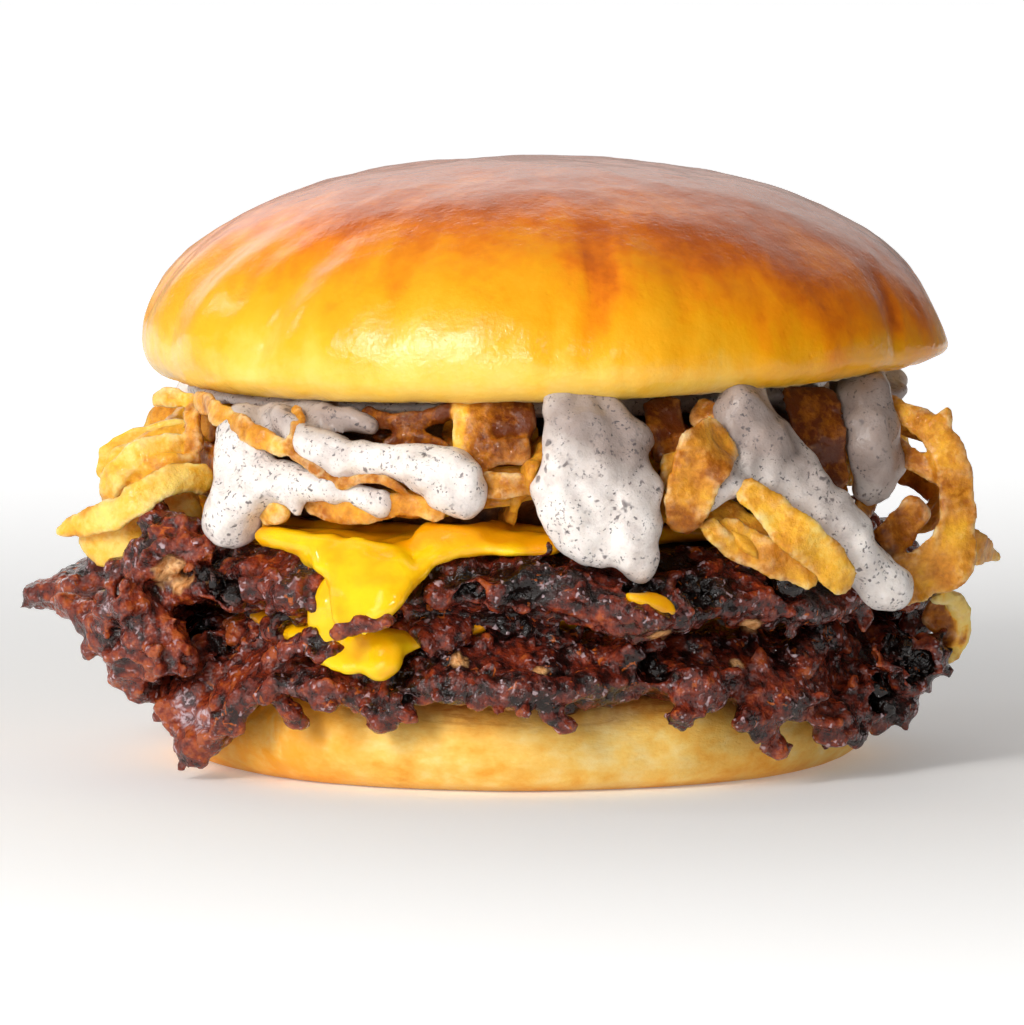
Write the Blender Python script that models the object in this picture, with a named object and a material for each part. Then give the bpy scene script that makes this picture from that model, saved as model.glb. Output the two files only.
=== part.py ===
"""Truffle burger: two smashed patties with melted cheese, fried onions and speckled sauce in a bun.

Sizes are in millimetres and bearings in degrees, counter-clockwise from +X seen from above.
The front of the burger, with the widest cheese flow, faces -Y (bearing 270).
"""
import math
import random

import bmesh
import bpy
from mathutils import Matrix, Vector, noise

MM = 0.001                  # metres in a millimetre

# ---- driving dimensions -------------------------------------------------------------------------
SIDES = 64                  # bearings round each layer
GAP = 0.5                   # clear space between layers that rest on each other

# bottom bun
HEEL_CENTRE = (0.7, 0.0)
HEEL_RADIUS = 48.0          # at its widest
HEEL_HEIGHT = 13.0
HEEL_BASE = 42.0            # radius of the flat base
HEEL_TOP = 44.0             # radius of the cut face
HEEL_BULGE = 6.6            # height at which it is widest
HEEL_DENT = 0.7             # depth of the hollows in its side

# top bun
CROWN_CENTRE = (3.5, 0.0)
CROWN_RADIUS = 54.2         # at its widest
CROWN_FACE = 48.5           # radius of the cut face
CROWN_WIDE_Z = 56.0         # height at which it is widest
CROWN_DOME = 24.4           # dome above the widest line
CROWN_SEAT = 52.3           # height of the cut face over the origin
CROWN_SLOPE = (0.026, 0.017)    # the cut face rises to the right and to the back
CROWN_LIP = (348, 16, 1.6)  # the rim juts out at the right: bearing, half width, amount
DOME_POWER = 2.3            # the dome's outline is a superellipse, a little fuller than a circle
CREASE = 0.7                # depth of the upright folds at the rim, which fade towards the top
DENT = 0.5                  # depth of the broad hollows in the dome

# patties, flat to a shoulder and bent down outside it
LOWER_MIDDLE = 17.0
UPPER_MIDDLE = 27.5
LOWER_THICK = 7.2
UPPER_THICK = 7.8
EDGE_THICK = 5.0            # thinner at the smashed rim
LOWER_SHOULDER = 44.3
UPPER_SHOULDER = 47.0
BEND_RUN = 6.0              # length over which a skirt bends
BEND_STEPS = 24             # straight steps that a point on a skirt is reckoned by
PATTY_RELIEF = 1.8          # depth of the hollows between crags
RAGGED = 1.9                # how far the rim runs in and out

# cheese slices, square with rounded corners
CHEESE_THICK = 2.0
CHEESE_HALF = 43.0          # half the side of a slice
CHEESE_POWER = 5.0          # how square the slice still is
CHEESE_MARGIN = 5.0         # outer strip of a slice that takes most of its points
LOWER_SKIRT_GAP = 0.7       # clear space added where a slice bends with its patty
UPPER_SKIRT_GAP = 0.85

# heap of fried onions
HEAP_BOTTOM = 34.8
HEAP_TOP = 48.2
HEAP_RADIUS = 45.2
HEAP_FOOT = 3.0             # how far the side draws in at the bottom
HEAP_ROUND = 11.0           # how far it draws in at the top
HEAP_HOLLOW = 3.2           # depth of the hollows in the side
HEAP_SIDES = 36
HEAP_LEVELS = 4
RIBBON_THICK = 1.8
RIBBON_STEPS = 6
STRIPS = 8                  # onions wound round the heap
STRIP_REACH = 47.4
BACK_START = 21.0           # bearings of the onions round the back, with sauce between them
BACK_STEP = 23.0
BACK_PAIRS = 7

# truffle sauce
CAP_BOTTOM = HEAP_TOP + GAP
CAP_RADIUS = 44.0
CAP_WAVE = 1.2              # how far the sheet's edge runs in and out
DRIP_SIDES = 8
DRIP_DEPTH = 3.6            # most that a drip stands out from its middle
DRIP_NARROWING = (0.7, 0.62)    # past its last place a drip narrows: how far on, and to what width
DRIP_POINT = 0.8            # and how far beyond that it ends, all in half widths
THIN_ROOM = 3.0             # with less height than this above it, a drip also keeps clear of the heap
THIN_DRIP = 0.6             # least half depth of a drip
HEAP_FALL = 1.6             # how steeply the heap falls away outside the sheet


# ---- helpers ------------------------------------------------------------------------------------
def ease(value):
    """0 to 1 with a soft start and end."""
    value = min(max(value, 0.0), 1.0)
    return value * value * (3.0 - 2.0 * value)


def lobes(bearing, base, table):
    """base plus a soft bump for each (centre, half width, amount) in the table."""
    total = base
    for centre, half_width, amount in table:
        away = abs((bearing - centre + 180.0) % 360.0 - 180.0)
        total += amount * ease(1.0 - away / half_width)
    return total


def around(bearing, radius, height, centre=(0.0, 0.0)):
    angle = math.radians(bearing)
    return Vector((centre[0] + radius * math.cos(angle), centre[1] + radius * math.sin(angle), height))


def ripple(bearing, waves, seed):
    """Smooth noise round the burger, about -1 to 1, with roughly this many waves a turn."""
    circle = around(bearing, waves / math.tau, seed * 7.31)
    return 1.8 * noise.noise(circle)


def bearings(count=SIDES):
    return [360.0 * index / count for index in range(count)]


def superellipse(bearing, half_side, power, turn):
    """Radius of a square with rounded corners whose corners lie at turn + 0, 90, 180 and 270."""
    angle = math.radians(bearing - turn + 45.0)
    return half_side / (abs(math.cos(angle)) ** power + abs(math.sin(angle)) ** power) ** (1.0 / power)


def ring_mesh(name, rings, tip=None):
    """Closed mesh through rings of equal size, flat at the first ring, and flat or pointed at the last."""
    mesh = bmesh.new()
    loops = [[mesh.verts.new(point * MM) for point in ring] for ring in rings]
    for low, high in zip(loops, loops[1:]):
        for index in range(len(low)):
            after = (index + 1) % len(low)
            mesh.faces.new((low[index], low[after], high[after], high[index]))
    mesh.faces.new(reversed(loops[0]))
    if tip is None:
        mesh.faces.new(loops[-1])
    else:
        peak = mesh.verts.new(tip * MM)
        for index in range(len(loops[-1])):
            mesh.faces.new((loops[-1][index], loops[-1][(index + 1) % len(loops[-1])], peak))
    bmesh.ops.triangulate(mesh, faces=mesh.faces, quad_method="FIXED")
    data = bpy.data.meshes.new(name)
    mesh.to_mesh(data)
    mesh.free()
    data.shade_smooth()
    return data


def add_object(name, mesh):
    item = bpy.data.objects.new(name, mesh)
    bpy.context.collection.objects.link(item)
    return item


def paint(item, color, roughness, specular=0.5):
    """Give the object its own Principled material."""
    material = bpy.data.materials.new(item.name)
    material.use_nodes = True
    shader = material.node_tree.nodes["Principled BSDF"]
    shader.inputs["Base Color"].default_value = (*color, 1.0)
    shader.inputs["Roughness"].default_value = roughness
    shader.inputs["Metallic"].default_value = 0.0
    shader.inputs["Specular IOR Level"].default_value = specular
    material.diffuse_color = (*color, 1.0)
    item.data.materials.clear()
    item.data.materials.append(material)
    return item


def fuse(body, pieces, label):
    """Join the pieces to the body with one Boolean union, then remove them."""
    gathered = bpy.data.collections.new(label)
    bpy.context.scene.collection.children.link(gathered)
    for index, mesh in enumerate(pieces):
        gathered.objects.link(bpy.data.objects.new(f"{label}_{index}", mesh))
    union = body.modifiers.new("union", "BOOLEAN")
    union.operation = "UNION"
    union.operand_type = "COLLECTION"
    union.collection = gathered
    union.solver = "EXACT"
    evaluated = body.evaluated_get(bpy.context.evaluated_depsgraph_get())
    joined = bpy.data.meshes.new_from_object(evaluated)
    body.modifiers.clear()
    body.data = joined
    for piece in list(gathered.objects):
        bpy.data.objects.remove(piece)
    bpy.data.collections.remove(gathered)
    keep_main_body(joined)
    joined.shade_smooth()


def keep_main_body(data):
    """Drop scraps that are not connected to the largest body."""
    mesh = bmesh.new()
    mesh.from_mesh(data)
    bmesh.ops.triangulate(mesh, faces=mesh.faces)
    left = set(mesh.verts)
    bodies = []
    while left:
        body = set()
        edge = [left.pop()]
        while edge:
            vertex = edge.pop()
            body.add(vertex)
            for link in vertex.link_edges:
                other = link.other_vert(vertex)
                if other in left:
                    left.discard(other)
                    edge.append(other)
        bodies.append(body)
    bodies.sort(key=len)
    for scrap in bodies[:-1]:
        bmesh.ops.delete(mesh, geom=list(scrap), context="VERTS")
    mesh.to_mesh(data)
    mesh.free()


# ---- buns ---------------------------------------------------------------------------------------
def make_heel():
    """Bottom bun: a thick disc with a bulging side, a flat base and a flat cut face."""
    steps = 3
    profile = []
    for step in range(steps + 1):
        angle = math.pi / 2 * step / steps
        radius = HEEL_BASE + (HEEL_RADIUS - HEEL_BASE) * math.sin(angle)
        profile.append((radius, HEEL_BULGE * (1.0 - math.cos(angle))))
    for step in range(1, steps + 1):
        angle = math.pi / 2 * step / steps
        radius = HEEL_TOP + (HEEL_RADIUS - HEEL_TOP) * math.cos(angle)
        profile.append((radius, HEEL_BULGE + (HEEL_HEIGHT - HEEL_BULGE) * math.sin(angle)))
    rings = []
    for radius, height in profile:
        dent = HEEL_DENT if 0.0 < height < HEEL_HEIGHT else 0.0
        rings.append([
            around(b, radius - dent * abs(ripple(b, 7, 3)), height, HEEL_CENTRE) for b in bearings()
        ])
    return add_object("bun_bottom", ring_mesh("bun_bottom", rings))


def crown_seat(x, y):
    """Height of the top bun's cut face over a place."""
    return CROWN_SEAT + CROWN_SLOPE[0] * x + CROWN_SLOPE[1] * y


def make_crown():
    """Top bun: a domed cap whose cut face slopes up to the right and the back."""
    rim_steps, dome_steps = 3, 9
    rings = []
    for step in range(rim_steps):
        angle = math.pi / 2 * step / rim_steps
        ring = []
        for b in bearings():
            lip = lobes(b, 0.0, (CROWN_LIP,)) * math.sin(angle)
            radius = CROWN_FACE + (CROWN_RADIUS - CROWN_FACE) * math.sin(angle) + lip
            point = around(b, radius, 0.0, CROWN_CENTRE)
            seat = crown_seat(point.x, point.y)
            point.z = seat + (CROWN_WIDE_Z - seat) * (1.0 - math.cos(angle))
            ring.append(point)
        rings.append(ring)
    for step in range(dome_steps):
        angle = math.pi / 2 * step / dome_steps
        ring = []
        for b in bearings():
            crease = CREASE * math.cos(angle) * abs(ripple(b, 9, 5)) + DENT * abs(ripple(b, 4, 8))
            radius = CROWN_RADIUS * math.cos(angle) ** (2.0 / DOME_POWER) - crease * math.cos(angle)
            ring.append(around(b, radius, CROWN_WIDE_Z + CROWN_DOME * math.sin(angle), CROWN_CENTRE))
        rings.append(ring)
    peak = around(0.0, 0.0, CROWN_WIDE_Z + CROWN_DOME, CROWN_CENTRE)
    return add_object("bun_top", ring_mesh("bun_top", rings, peak))


# ---- patties and cheese -------------------------------------------------------------------------
class Patty:
    """A smashed patty, flat inside its shoulder, whose skirt bends down and ends in a ragged rim."""

    def __init__(self, name, middle, thick, shoulder, reach, droop, seed):
        self.name = name
        self.middle = middle
        self.thick = thick
        self.shoulder = shoulder
        self.reach_table = reach
        self.droop_table = droop
        self.seed = seed

    def reach(self, bearing):
        """Length of the skirt outside the shoulder."""
        base, table = self.reach_table
        return max(4.0, lobes(bearing, base, table) + RAGGED * ripple(bearing, 26, self.seed))

    def droop(self, bearing):
        """Slope of the skirt once it has bent."""
        base, table = self.droop_table
        return math.radians(lobes(bearing, base, table) + 3.0 * ripple(bearing, 6, self.seed + 1))

    def half(self, bearing, run):
        """Half the thickness at a distance outside the shoulder."""
        share = max(run, 0.0) / self.reach(bearing)
        return 0.5 * (self.thick + (EDGE_THICK - self.thick) * ease(share))

    def place(self, bearing, run, offset):
        """A point at a distance outside the shoulder, this far above the middle of the patty."""
        if run <= 0.0:
            return around(bearing, self.shoulder + run, self.middle + offset)
        droop = self.droop(bearing)
        radius, height = self.shoulder, self.middle
        for step in range(BEND_STEPS):
            slope = droop * ease((step + 0.5) / BEND_STEPS * run / BEND_RUN)
            radius += math.cos(slope) * run / BEND_STEPS
            height -= math.sin(slope) * run / BEND_STEPS
        slope = droop * ease(run / BEND_RUN)
        return around(bearing, radius + offset * math.sin(slope), height + offset * math.cos(slope))

    def relief(self, point):
        """Depth of the hollows between the crags, 0 on the flat middle."""
        radius = math.hypot(point.x, point.y)
        rise = ease((radius - self.shoulder - 1.0) / 3.0)
        crag = noise.noise(point * 0.17 + Vector((0.0, 0.0, self.seed * 11.7)))
        return PATTY_RELIEF * rise * min(1.0, abs(2.4 * crag))

    def build(self):
        shares = (0.22, 0.45, 0.66, 0.84, 0.96)
        rounding = (1.0, 1.0, 0.96, 0.82, 0.5)
        rings = {}
        for side in (-1, 1):
            flat = self.middle + side * self.thick / 2
            rings[side] = [[around(b, self.shoulder, flat) for b in bearings()]]
            for share, full in zip(shares, rounding):
                ring = []
                for b in bearings():
                    run = share * self.reach(b)
                    offset = side * self.half(b, run) * full
                    smooth = self.place(b, run, offset)
                    ring.append(self.place(b, run, offset - side * self.relief(smooth)))
                rings[side].append(ring)
        rim = [self.place(b, self.reach(b), 0.0) for b in bearings()]
        everything = rings[-1] + [rim] + rings[1][::-1]
        return add_object(self.name, ring_mesh(self.name, everything))


class Cheese:
    """A melted slice that lies on a patty and follows its skirt down."""

    def __init__(self, name, patty, skirt_gap, corner, flows, seed):
        self.name = name
        self.patty = patty
        self.skirt_gap = skirt_gap
        self.corner = corner
        self.flows = flows
        self.seed = seed

    def end(self, bearing):
        """Distance of the slice's edge outside the patty's shoulder."""
        radius = superellipse(bearing, CHEESE_HALF, CHEESE_POWER, self.corner)
        radius = lobes(bearing, radius, self.flows) + 0.6 * ripple(bearing, 14, self.seed)
        return radius - self.patty.shoulder

    def build(self):
        shares = (0.0, 0.22, 0.58, 0.93)
        rounding = (1.0, 1.0, 0.96, 0.62)
        ends = [(b, self.end(b)) for b in bearings()]
        rings = {}
        for side in (-1, 1):
            rings[side] = []
            for share, full in zip(shares, rounding):
                ring = []
                for b, end in ends:
                    start = min(0.0, end - CHEESE_MARGIN)
                    ring.append(self.place(b, start + (end - start) * share, side * full))
                rings[side].append(ring)
        rim = [self.place(b, end, 0.0) for b, end in ends]
        return add_object(self.name, ring_mesh(self.name, rings[-1] + [rim] + rings[1][::-1]))

    def place(self, bearing, run, share):
        """A point in the slice, from its underside (share -1) to its upper side (share 1)."""
        clear = GAP + self.skirt_gap * ease(run / 2.0)
        rest = self.patty.half(bearing, run) + clear + CHEESE_THICK / 2
        return self.patty.place(bearing, run, rest + share * CHEESE_THICK / 2)


LOWER_PATTY = Patty(
    "patty_lower", LOWER_MIDDLE, LOWER_THICK, LOWER_SHOULDER,
    reach=(9.5, ((217, 18, 7.0), (186, 20, 2.0), (322, 24, 5.5), (352, 24, 3.0), (40, 30, 2.0), (120, 26, 3.0))),
    droop=(24.0, ((217, 20, 48.0), (186, 18, 14.0), (248, 12, 14.0), (305, 12, 20.0), (325, 22, 42.0),
                  (355, 24, 34.0), (30, 28, 26.0), (75, 24, 18.0), (122, 24, 36.0), (155, 18, 14.0))),
    seed=2,
)
UPPER_PATTY = Patty(
    "patty_upper", UPPER_MIDDLE, UPPER_THICK, UPPER_SHOULDER,
    reach=(7.5, ((187, 16, 11.5), (216, 14, 1.5), (250, 11, -2.5), (290, 18, 3.5), (325, 20, 3.5),
                 (353, 22, 5.0), (35, 24, 3.0), (110, 30, 3.0), (148, 16, 2.0))),
    droop=(14.0, ((187, 22, 9.0), (216, 18, 12.0), (250, 11, 46.0), (268, 9, -16.0), (290, 16, 26.0),
                  (322, 24, 34.0), (352, 26, 38.0), (35, 24, 14.0), (95, 24, 10.0), (140, 26, 14.0))),
    seed=6,
)
LOWER_CHEESE = Cheese(
    "cheese_lower", LOWER_PATTY, LOWER_SKIRT_GAP, corner=246,
    flows=((246, 12, 2.5), (336, 40, -8.0), (66, 18, 2.0)), seed=4,
)
UPPER_CHEESE = Cheese(
    "cheese_upper", UPPER_PATTY, UPPER_SKIRT_GAP, corner=252,
    flows=((250, 11, 9.0), (232, 10, 4.0), (218, 10, -2.0), (272, 12, 6.0), (342, 22, -6.0),
           (72, 12, 4.0), (165, 14, 1.0), (182, 12, 2.0)), seed=9,
)


# ---- fried onions -------------------------------------------------------------------------------
def heap_radius(height):
    """Side of the onion heap: steep below, rounded over at the top."""
    share = (height - HEAP_BOTTOM) / (HEAP_TOP - HEAP_BOTTOM)
    foot = HEAP_FOOT * ease(1.0 - share / 0.2)
    shoulder = HEAP_ROUND * max(0.0, (share - 0.42) / 0.58) ** 2.2
    return HEAP_RADIUS - foot - shoulder


def make_heap():
    rings = []
    for level in range(HEAP_LEVELS + 1):
        height = HEAP_BOTTOM + (HEAP_TOP - HEAP_BOTTOM) * level / HEAP_LEVELS
        ring = []
        for b in bearings(HEAP_SIDES):
            point = around(b, heap_radius(height), height)
            hollow = abs(noise.noise(point * 0.12 + Vector((3.1, 0.4, 9.2))))
            ring.append(around(b, heap_radius(height) - HEAP_HOLLOW * hollow, height))
        rings.append(ring)
    return add_object("onions", ring_mesh("onions", rings, Vector((0.0, 0.0, HEAP_TOP + 0.1))))


class Loop:
    """Part of an onion ring: an elliptical arc whose hub stands at a bearing of the heap.

    The arc starts and ends at angles from straight out, positive upward. A roll of 0 stands the
    ring's plane upright and pointing out, and 90 lays it flat round the heap. A twist of 0 shows
    the ring's broad face to its hub, and 90 lays the ribbon in the ring's own plane.
    """

    def __init__(self, bearing, hub, height, out, rise, roll, start, end, width=6.0, twist=0.0):
        self.bearing = bearing
        self.hub = hub
        self.height = height
        self.out = out
        self.rise = rise
        self.roll = roll
        self.start = start
        self.end = end
        self.width = width
        self.twist = twist

    def build(self, label):
        """The ribbon as a closed mesh."""
        outward = around(self.bearing, 1.0, 0.0)
        sideways = Vector((0.0, 0.0, 1.0)).cross(outward)
        roll = math.radians(self.roll)
        climb = Vector((0.0, 0.0, math.cos(roll))) + sideways * math.sin(roll)
        axis = outward.cross(climb)
        twist = math.radians(self.twist)
        rings = []
        for step in range(RIBBON_STEPS + 1):
            share = step / RIBBON_STEPS
            angle = math.radians(self.start + (self.end - self.start) * share)
            radial = outward * math.cos(angle) + climb * math.sin(angle)
            middle = around(self.bearing, self.hub, self.height)
            middle += outward * self.out * math.cos(angle) + climb * self.rise * math.sin(angle)
            crinkle = 1.0 + 0.14 * math.sin(step * 2.4 + self.bearing)
            taper = 0.55 + 0.45 * math.sin(math.pi * (0.12 + 0.76 * share))
            broad = axis * math.cos(twist) + radial * math.sin(twist)
            thin = radial * math.cos(twist) - axis * math.sin(twist)
            half = self.width / 2 * crinkle * taper
            rings.append([
                middle + broad * half + thin * RIBBON_THICK / 2,
                middle - broad * half + thin * RIBBON_THICK / 2,
                middle - broad * half - thin * RIBBON_THICK / 2,
                middle + broad * half - thin * RIBBON_THICK / 2,
            ])
        if self.end < self.start:
            rings = [ring[::-1] for ring in rings]
        return ring_mesh(label, rings)


# the onions that show at the front and the two sides
SHOWN_LOOPS = (
    Loop(188, 46, 37.5, 14.0, 8.0, 8, 150, -42, 6.5, 38),
    Loop(178, 44, 40.5, 12.0, 6.0, 24, 140, -56, 5.0, 60),
    Loop(201, 40, 43.0, 9.5, 4.4, 30, 140, -50, 4.0, 30),
    Loop(272, 37, 42.0, 11.5, 5.0, 25, 60, -80, 6.5, 90),
    Loop(296, 37.5, 40.5, 11.0, 5.0, 20, 90, -60, 7.0, 85),
    Loop(305, 42, 32.4, 14.0, 10.0, -45, 125, -26, 5.6, 12),
    Loop(357, 46, 37.5, 15.0, 8.8, 6, 150, -60, 6.5, 30),
    Loop(6, 44, 34.5, 14.5, 7.0, 40, 120, -40, 5.0, 55),
)


def back_loops():
    """Onions that stand out round the back, by a seeded rule, like those that show."""
    draw = random.Random(41)
    loops = []
    for index in range(BACK_PAIRS):
        bearing = BACK_START + BACK_STEP * index
        loops.append(Loop(
            bearing + draw.uniform(-2.0, 2.0), draw.uniform(40, 44), draw.uniform(39.0, 41.0),
            draw.uniform(9, 15), draw.uniform(4.5, 6.0), draw.uniform(0, 22), 130, -45,
            draw.uniform(4.5, 6.5), draw.uniform(10, 60),
        ))
    return loops


def lying_loops():
    """Onions wound round the side of the heap, within STRIP_REACH of its axis."""
    draw = random.Random(5)
    loops = []
    for index in range(STRIPS):
        bearing = 360.0 * (index + draw.uniform(-0.2, 0.2)) / STRIPS
        bend = draw.uniform(24, 28)
        width = draw.uniform(3.6, 5.4)
        tilt = draw.choice((-1, 1)) * draw.uniform(78, 86)
        height = draw.uniform(38.8, 42.0)
        loops.append(Loop(bearing, STRIP_REACH - bend, height, bend, bend, tilt, 52, -52, width))
    return loops


def make_onions():
    heap = make_heap()
    loops = list(SHOWN_LOOPS) + back_loops() + lying_loops()
    fuse(heap, [loop.build(f"loop_{index}") for index, loop in enumerate(loops)], "loops")
    return heap


# ---- truffle sauce ------------------------------------------------------------------------------
def make_cap():
    """The sheet of sauce under the top bun, level below and following the bun above."""
    rings = []
    for inset, share in ((1.5, 0.0), (0.0, 0.45), (1.2, 1.0)):
        ring = []
        for b in bearings(HEAP_SIDES):
            wave = CAP_WAVE * ripple(b, 9, 12) if 0.0 < share < 1.0 else 0.0
            point = around(b, CAP_RADIUS - inset + wave, 0.0)
            top = crown_seat(point.x, point.y) - GAP
            point.z = CAP_BOTTOM + (top - CAP_BOTTOM) * share
            ring.append(point)
        rings.append(ring)
    return add_object("sauce", ring_mesh("sauce", rings))


def room_under_bun(place):
    """Half the depth that a run can have here, between the heap and the top bun."""
    above = crown_seat(place.x, place.y) - GAP - place.z
    outside = max(0.0, math.hypot(place.x, place.y) - CAP_RADIUS)
    below = place.z - CAP_BOTTOM + HEAP_FALL * outside
    return max(THIN_DRIP, min(above, below)) if above < THIN_ROOM else above


def drip(route, label):
    """A run of sauce through (bearing, radius, height, half width) places, rounded at its end."""
    places = [around(b, radius, height) for b, radius, height, _ in route]
    halves = [half for _, _, _, half in route]
    tip_run = (places[-1] - places[-2]).normalized()
    onward, left = DRIP_NARROWING
    places.append(places[-1] + tip_run * halves[-1] * onward)
    halves.append(halves[-1] * left)
    rings = []
    for index, (place, half) in enumerate(zip(places, halves)):
        ahead = places[min(index + 1, len(places) - 1)]
        behind = places[max(index - 1, 0)]
        along = (ahead - behind).normalized()
        outward = Vector((place.x, place.y, 0.0)).normalized()
        wide = along.cross(outward).normalized()
        deep = wide.cross(along).normalized()
        depth = min(half, DRIP_DEPTH, room_under_bun(place))
        rings.append([
            place + wide * half * math.cos(math.tau * side / DRIP_SIDES)
            + deep * depth * math.sin(math.tau * side / DRIP_SIDES)
            for side in range(DRIP_SIDES)
        ])
    rings = [ring[::-1] for ring in rings]
    return ring_mesh(label, rings, places[-1] + tip_run * halves[-1] * DRIP_POINT)


# the runs of sauce that show at the front, from the left to the right
SHOWN_DRIPS = (
    ((226, 41, 49.3, 1.0), (227, 47.5, 48.4, 2.2), (228, 52.4, 44.4, 5.0), (228, 53.4, 39.0, 6.3)),
    ((229, 52.0, 42.0, 3.0), (236, 51.4, 40.8, 2.7), (244, 51.2, 39.8, 2.5), (252, 51.0, 39.3, 2.4)),
    ((236, 51.4, 40.0, 2.0), (236.5, 51.6, 36.4, 1.4)),
    ((231, 42, 49.3, 1.0), (234, 48.4, 48.6, 1.8), (243, 51.4, 46.6, 3.0), (252, 51.8, 44.7, 3.2),
     (259, 52.0, 43.2, 3.5), (262.5, 52.0, 40.3, 3.2)),
    ((283, 41, 49.4, 4.5), (283, 47.5, 48.9, 7.0), (282.5, 52.0, 45.5, 7.6), (281.5, 52.6, 41.0, 8.4),
     (284, 53.2, 37.0, 7.4), (286.5, 53.8, 34.6, 4.6)),
    ((312, 41, 49.8, 1.0), (310, 47.5, 49.4, 3.0), (307.5, 52.2, 45.2, 4.2), (313, 54.0, 40.5, 4.6),
     (319.5, 57.0, 34.8, 4.2), (324, 59.6, 29.8, 4.0), (326, 61.0, 27.4, 3.9)),
    ((307, 52.4, 45.6, 3.0), (303.5, 52.6, 43.4, 2.8), (301.5, 52.8, 41.4, 2.2)),
    ((338, 41, 50.0, 1.0), (334, 47.4, 49.6, 2.8), (336, 52.0, 45.5, 3.8), (339, 53.0, 41.5, 4.4),
     (340, 53.4, 38.2, 3.4)),
)


def back_drips():
    """Shorter and longer runs round the back by a seeded rule."""
    draw = random.Random(17)
    drips = []
    for index in range(BACK_PAIRS - 1):
        bearing = BACK_START + BACK_STEP * (index + 0.5)
        half = draw.uniform(2.8, 4.2)
        lean = draw.uniform(-3.0, 3.0)
        bottom = draw.uniform(38.0, 43.0)
        drips.append((
            (bearing, 41, 49.4, 1.0), (bearing + lean * 0.3, 47.6, 49.0, 2.2),
            (bearing + lean * 0.6, 52.2, 45.6, half * 0.85), (bearing + lean, 53.0, bottom, half),
        ))
    return drips


def make_sauce():
    cap = make_cap()
    runs = list(SHOWN_DRIPS) + back_drips()
    fuse(cap, [drip(route, f"drip_{index}") for index, route in enumerate(runs)], "drips")
    return cap


# ---- assembly -----------------------------------------------------------------------------------
def stand_on_origin(items):
    """Put the middle of the burger's box over the origin, with its lowest point at height 0."""
    corners = [vertex.co for item in items for vertex in item.data.vertices]
    low = Vector([min(corner[axis] for corner in corners) for axis in range(3)])
    high = Vector([max(corner[axis] for corner in corners) for axis in range(3)])
    shift = Matrix.Translation(Vector((-(low.x + high.x) / 2, -(low.y + high.y) / 2, -low.z)))
    for item in items:
        item.data.transform(shift)


def main():
    for item in list(bpy.data.objects):
        bpy.data.objects.remove(item)
    burger = [
        paint(make_heel(), (0.86, 0.60, 0.24), 0.50),
        paint(LOWER_PATTY.build(), (0.13, 0.03, 0.018), 0.32),
        paint(LOWER_CHEESE.build(), (1.0, 0.60, 0.02), 0.28),
        paint(UPPER_PATTY.build(), (0.11, 0.028, 0.018), 0.32),
        paint(UPPER_CHEESE.build(), (1.0, 0.60, 0.02), 0.28),
        paint(make_onions(), (0.80, 0.45, 0.10), 0.36),
        paint(make_sauce(), (0.72, 0.64, 0.61), 0.34),
        paint(make_crown(), (0.83, 0.38, 0.05), 0.30),
    ]
    stand_on_origin(burger)


main()
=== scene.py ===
"""Truffle burger: surface detail, materials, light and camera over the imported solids.

Lengths are millimetres before the solids were centred, bearings are degrees counter-clockwise from
+X seen from above, and the front of the burger faces -Y (bearing 270). What shows at the front is
placed by pixel, across and down the image, on a solid or at a radius from the burger's axis.
"""
import math
import random
from typing import NamedTuple

import bmesh
import bpy
import numpy as np
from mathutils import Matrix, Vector, noise
from mathutils.bvhtree import BVHTree
from mathutils.kdtree import KDTree


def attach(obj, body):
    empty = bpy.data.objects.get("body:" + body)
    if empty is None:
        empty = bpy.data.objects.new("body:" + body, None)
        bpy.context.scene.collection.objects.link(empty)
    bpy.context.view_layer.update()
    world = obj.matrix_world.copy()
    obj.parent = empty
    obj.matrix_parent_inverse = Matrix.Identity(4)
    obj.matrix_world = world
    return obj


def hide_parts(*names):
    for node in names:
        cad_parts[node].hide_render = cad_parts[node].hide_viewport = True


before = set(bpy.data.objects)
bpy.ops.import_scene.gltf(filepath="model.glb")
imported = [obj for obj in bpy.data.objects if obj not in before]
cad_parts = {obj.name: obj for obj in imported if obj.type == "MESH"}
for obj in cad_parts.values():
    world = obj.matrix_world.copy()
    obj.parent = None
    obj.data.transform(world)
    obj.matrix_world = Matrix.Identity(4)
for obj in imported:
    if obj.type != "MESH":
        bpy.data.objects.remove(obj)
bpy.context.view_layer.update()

MM = 0.001

# ---- dimensions shared with the solids ----------------------------------------------------------
GAP = 0.5
HEEL_CENTRE = (0.7, 0.0)
HEEL_RADIUS = 48.0
HEEL_HEIGHT = 13.0
HEEL_BASE = 42.0
HEEL_TOP = 44.0
HEEL_BULGE = 6.6
HEEL_DENT = 0.7
CROWN_CENTRE = (3.5, 0.0)
CROWN_RADIUS = 54.2
CROWN_FACE = 48.5
CROWN_WIDE_Z = 56.0
CROWN_DOME = 24.4
CROWN_SEAT = 52.3
CROWN_SLOPE = (0.026, 0.017)
CROWN_LIP = (348, 16, 1.6)  # bearing, half width in degrees and how far it stands out
DOME_POWER = 2.3
CREASE = 0.7
DENT = 0.5
HEAP_BOTTOM = 34.8
HEAP_TOP = 48.2
HEAP_RADIUS = 45.2
HEAP_FOOT = 3.0
HEAP_ROUND = 11.0
HEAP_HOLLOW = 3.2
CAP_BOTTOM = HEAP_TOP + GAP
CAP_RADIUS = 44.0
CAP_WAVE = 1.2
DRIP_DEPTH = 3.6

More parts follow.
